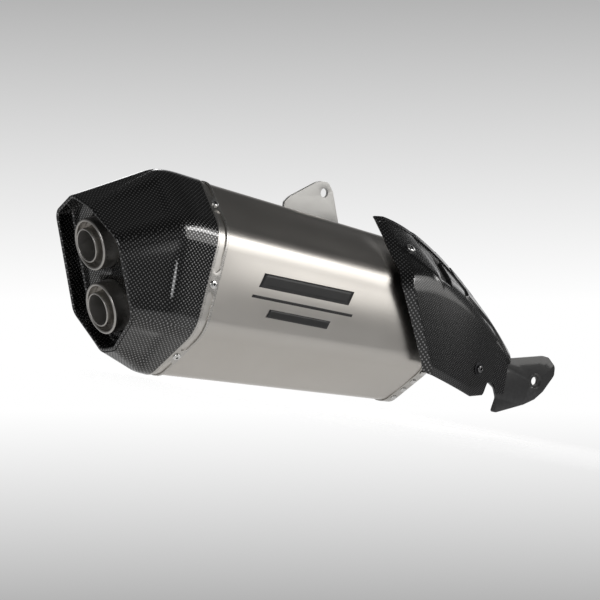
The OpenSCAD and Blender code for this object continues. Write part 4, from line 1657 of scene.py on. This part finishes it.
    def ear(self) -> bpy.types.Object:
        """Builds the flat black ear with its dished hole."""
        x, e = self.front, self.front + self.ear_l
        y = -self.out + 12 + self.laminate + 0.05 + self.ear_t
        outline = arc_points(
            [(x - 24, -36), (x - 1, -25), (x + 1.5, -15), (e - 20, -6), (e - 12, -6.5), (e - 1, -14),
             (e, -23), (e - 12, -41), (e - 22, -50), (e - 36, -57), (x - 4, -69), (x - 10, -69),
             (x - 7, -55), (x - 12, -46), (x - 24, -40)],
            [1, 4, 5, 8, 7, 6, 6, 12, 8, 10, 4, 2, 5, 5, 1], 5,
        )
        build = Build("shield_ear_plate")
        flat = [Vector((px, y, pz)) for px, pz in outline]
        centre = Vector((e - 25, y, -32.0))
        ax, az = Vector((1, 0, 0)), Vector((0, 0, 1))
        fill_plate(build, flat, [circle(centre, ax, az, 8.6)])
        rings = []
        for radius, depth in ((8.6, 0.0), (8.1, 0.35), (7.3, 1.0), (6.6, 1.25), (4.1, 1.3)):
            rings.append(circle(centre + Vector((0, depth, 0)), ax, az, radius))
        build.skin(rings, closed=True)
        obj = build.make(sharp=50, recalc=False)
        bm = bmesh.new()
        bm.from_mesh(obj.data)
        bmesh.ops.recalc_face_normals(bm, faces=bm.faces)
        bm.to_mesh(obj.data)
        bm.free()
        inboard = sum(p.normal.y * p.area for p in obj.data.polygons) > 0
        add_thickness(obj, self.ear_t, -1.0 if inboard else 1.0)
        add_bevel(obj, 0.5, 3, 50)
        EAR_PLATE.dress(obj)
        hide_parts("shield_ear")
        return obj

    def bolts(self) -> list[bpy.types.Object]:
        """Builds both bolts and their washers."""
        spots = [
            (self.at(*self.upper), self.normal(self.upper[0], self.upper[1] + 0.19)),
            (self.at(*self.lower), self.normal(*self.lower)),
        ]
        made = []
        sizes = {"upper": (9.5, 3.2, 12.0, BRIGHT_STEEL), "lower": (7.6, 3.0, 9.0, DARK_BOLT)}
        for spot, (word, (head, key, length, finish)) in zip(spots, sizes.items()):
            made.append(
                capped(
                    f"shield_bolt_head_{word}", finish, f"shield_bolt_{word}",
                    [spot], Button(head, 2.6, key, 4.9, length), 1.1,
                )
            )
        washers = Build("shield_cup_washers")
        for at, out in spots:
            washers.lathe(
                arc_points([(2.6, 0), (6.5, 0), (6.5, 1), (2.6, 1)], [0.1, 0.3, 0.4, 0.1], 4),
                at + out * 0.02, out, Vector((1, 0, 0)), 64,
            )
        obj = washers.make(sharp=40)
        BLACK_OXIDE.dress(obj)
        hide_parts("shield_washers")
        return [*made, obj]

    def build(self) -> list[bpy.types.Object]:
        """Builds shield, ear and bolts."""
        return [self.panel(), self.ear(), *self.bolts()]


@dataclass
class CarriedOver:
    """The CAD nodes whose shape stays, each with its finish."""

    finishes: dict[str, Finish] = field(
        default_factory=lambda: {
            "cap_carrier_ring": DULL_STEEL,
            "chamber_box": DULL_STEEL,
            "outlet_bulkhead": DULL_STEEL,
            "perforated_core": DULL_STEEL,
            "packing_wool": GLASS_WOOL,
            "inlet_cap": TITANIUM,
            "inlet_pipe": PIPE_STEEL,
            "inlet_clamp": BAND_STEEL,
            "clamp_bolt": BLACK_OXIDE,
            "clamp_nut": BLACK_OXIDE,
            "upper_standoff": DULL_STEEL,
            "lower_stay": DULL_STEEL,
        }
    )

    def build(self) -> list[bpy.types.Object]:
        """Dresses every kept node."""
        return [finish.dress(frame["nodes"][node]) for node, finish in self.finishes.items()]


# ---------------------------------------------------------------- studio


class Lamp(Enum):
    """The studio's softboxes: direction from the can, distance, size, power and warmth."""

    KEY = ((0.555, -0.72, 0.425), 1.8, (1.5, 1.24), 9.0, (1.0, 0.985, 0.96))
    STRIP = ((0.42, -0.70, 0.58), 1.7, (0.75, 0.24), 3.2, (1.0, 0.99, 0.98))
    REAR = ((-0.80, -0.52, 0.10), 1.6, (0.6, 0.6), 3.2, (1.0, 1.0, 1.0))
    FRONT = ((0.90, 0.20, 0.38), 1.8, (0.7, 0.7), 1.8, (1.0, 1.0, 1.0))
    FAR = ((0.1, 0.93, 0.45), 1.7, (1.2, 0.5), 4.0, (1.0, 1.0, 1.0))


@dataclass
class Studio:
    """Camera, softboxes, backdrop shade and the pale floor disc."""

    eye: Vector = field(default_factory=lambda: Vector((-1.3616, -1.4539, -0.0536)))
    right: Vector = field(default_factory=lambda: Vector((0.7669, -0.6169, 0.1770)))
    upward: Vector = field(default_factory=lambda: Vector((-0.1570, 0.0871, 0.9837)))
    lens: float = 120.0
    floor_z: float = -0.0915
    floor_r: float = 0.95
    sweep: float = 0.5
    sky: tuple[tuple[float, float], ...] = (
        (0.30, 0.34), (0.44, 0.14), (0.50, 0.14), (0.58, 0.17), (0.72, 0.07), (0.88, 0.05)
    )

    def camera(self) -> None:
        """Makes the camera at the chosen viewing angle."""
        data = bpy.data.cameras.new("studio_camera")
        data.lens, data.sensor_width = self.lens, 36.0
        cam = bpy.data.objects.new("studio_camera", data)
        right, up = self.right.normalized(), self.upward.normalized()
        back = right.cross(up).normalized()
        up = back.cross(right)
        cam.matrix_world = Matrix(
            (
                (right.x, up.x, back.x, self.eye.x),
                (right.y, up.y, back.y, self.eye.y),
                (right.z, up.z, back.z, self.eye.z),
                (0, 0, 0, 1),
            )
        )
        bpy.context.scene.collection.objects.link(cam)
        bpy.context.scene.camera = cam

    def lamps(self) -> None:
        """Hangs the softboxes round the can."""
        centre = Vector((-0.22, 0.0, 0.0))
        for lamp in Lamp:
            way, distance, size, power, colour = lamp.value
            data = bpy.data.lights.new(f"softbox_{lamp.name.lower()}", "AREA")
            data.shape = "RECTANGLE"
            data.size, data.size_y = size
            data.energy, data.color = power, colour
            obj = bpy.data.objects.new(data.name, data)
            away = Vector(way).normalized()
            obj.location = centre + away * distance
            obj.rotation_mode = "QUATERNION"
            obj.rotation_quaternion = (-away).to_track_quat("-Z", "Y")
            bpy.context.scene.collection.objects.link(obj)

    def backdrop(self) -> None:
        """Shades the world: a soft grey to white sweep, and a calmer one for reflections."""
        world = bpy.data.worlds.new("studio_world")
        bpy.context.scene.world = world
        world.use_nodes = True
        world.node_tree.nodes.clear()
        b = Bench(world.node_tree)
        way = b.node("ShaderNodeTexCoord").outputs["Generated"]
        height = b.node("ShaderNodeVectorMath", operation="DOT_PRODUCT")
        b.link(way, height.inputs[0])
        height.inputs[1].default_value = self.upward
        level = height.outputs["Value"]
        upper = b.spread(level, 0.0, 0.15, 1.0, 0.45)
        lower = b.spread(level, -0.15, -0.055, 0.45, 1.0)
        seen = b.math("MINIMUM", upper, lower)
        ramp = b.node("ShaderNodeValToRGB")
        b.link(b.spread(level, -1.0, 1.0), ramp.inputs[0])
        stops = ramp.color_ramp.elements
        stops[0].position, stops[0].color = 0.0, rgba((0.36, 0.35, 0.335))
        stops[1].position, stops[1].color = 1.0, rgba((0.10, 0.10, 0.10))
        for place, shade_there in self.sky:
            stops.new(place).color = rgba((shade_there,) * 3)
        behind = b.node("ShaderNodeVectorMath", operation="DOT_PRODUCT")
        b.link(way, behind.inputs[0])
        behind.inputs[1].default_value = self.right.cross(self.upward) * -1.0
        sweep = b.spread(behind.outputs["Value"], 0.80, 1.0, 0.0, self.sweep)
        sky = b.vector("ADD", ramp.outputs[0], sweep)
        shade = b.node("ShaderNodeMix", data_type="RGBA")
        path = b.node("ShaderNodeLightPath").outputs["Is Camera Ray"]
        b.link(path, shade.inputs["Factor"])
        b.link(sky, shade.inputs[6])
        b.link(seen, shade.inputs[7])
        light = b.node("ShaderNodeBackground")
        b.link(shade.outputs[2], light.inputs["Color"])
        out = b.node("ShaderNodeOutputWorld")
        b.link(light.outputs[0], out.inputs["Surface"])

    def floor(self) -> None:
        """Lays a pale disc under the can that fades out at its edge."""
        build = Build("studio_floor")
        centre = Vector((-200.0, 0.0, self.floor_z / MM))
        radii = [self.floor_r / MM * k / 12 for k in range(1, 13)]
        ax, ay = Vector((1, 0, 0)), Vector((0, 1, 0))
        rings = [circle(centre, ax, ay, r, 96) for r in radii]
        first = build.skin(rings, closed=True)
        middle = build.add([centre])
        for k in range(96):
            build.face(middle, first + k, first + (k + 1) % 96)
        obj = build.make(recalc=False)
        obj.parent = None
        del obj["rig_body"]
        made = bpy.data.materials.new("pale_floor")
        made.use_nodes = True
        made.node_tree.nodes.clear()
        b = Bench(made.node_tree)
        point = object_point(b)
        away = b.node("ShaderNodeVectorMath", operation="DISTANCE")
        b.link(point, away.inputs[0])
        away.inputs[1].default_value = centre * MM
        share = b.spread(away.outputs["Value"], 0.2 * self.floor_r, 0.6 * self.floor_r, 0.3, 0.0)
        shader = b.node("ShaderNodeBsdfPrincipled")
        haze = b.spread(b.noise(point, 8.0, 3.0), 0.3, 0.7, 0.28, 0.36)
        b.link(haze, shader.inputs["Roughness"])
        shader.inputs["Base Color"].default_value = (0.9, 0.9, 0.9, 1)
        shader.inputs["Emission Color"].default_value = (1, 1, 1, 1)
        shader.inputs["Emission Strength"].default_value = 0.72
        b.link(share, shader.inputs["Alpha"])
        out = b.node("ShaderNodeOutputMaterial")
        b.link(shader.outputs[0], out.inputs["Surface"])
        obj.data.materials.append(made)

    def build(self) -> None:
        """Sets up the whole studio."""
        self.camera()
        self.lamps()
        self.backdrop()
        self.floor()
        bpy.context.scene.view_settings.view_transform = "Standard"


def main() -> None:
    """Builds every sub-assembly in order and reports each piece."""
    logging.basicConfig(level=logging.INFO, format="%(message)s")
    cap = EndCap()
    groups = [
        Sleeve(), OutletBand(), cap, Outlet(cap, 1), Outlet(cap, -1), InletEnd(), HangerTab(),
        HeatShield(), CarriedOver(),
    ]
    for group in groups:
        for piece in group.build():
            LOG.info("%s: %s, %d faces", type(group).__name__, piece.name, len(piece.data.polygons))
    Studio().build()


if __name__ == "__main__":
    main()
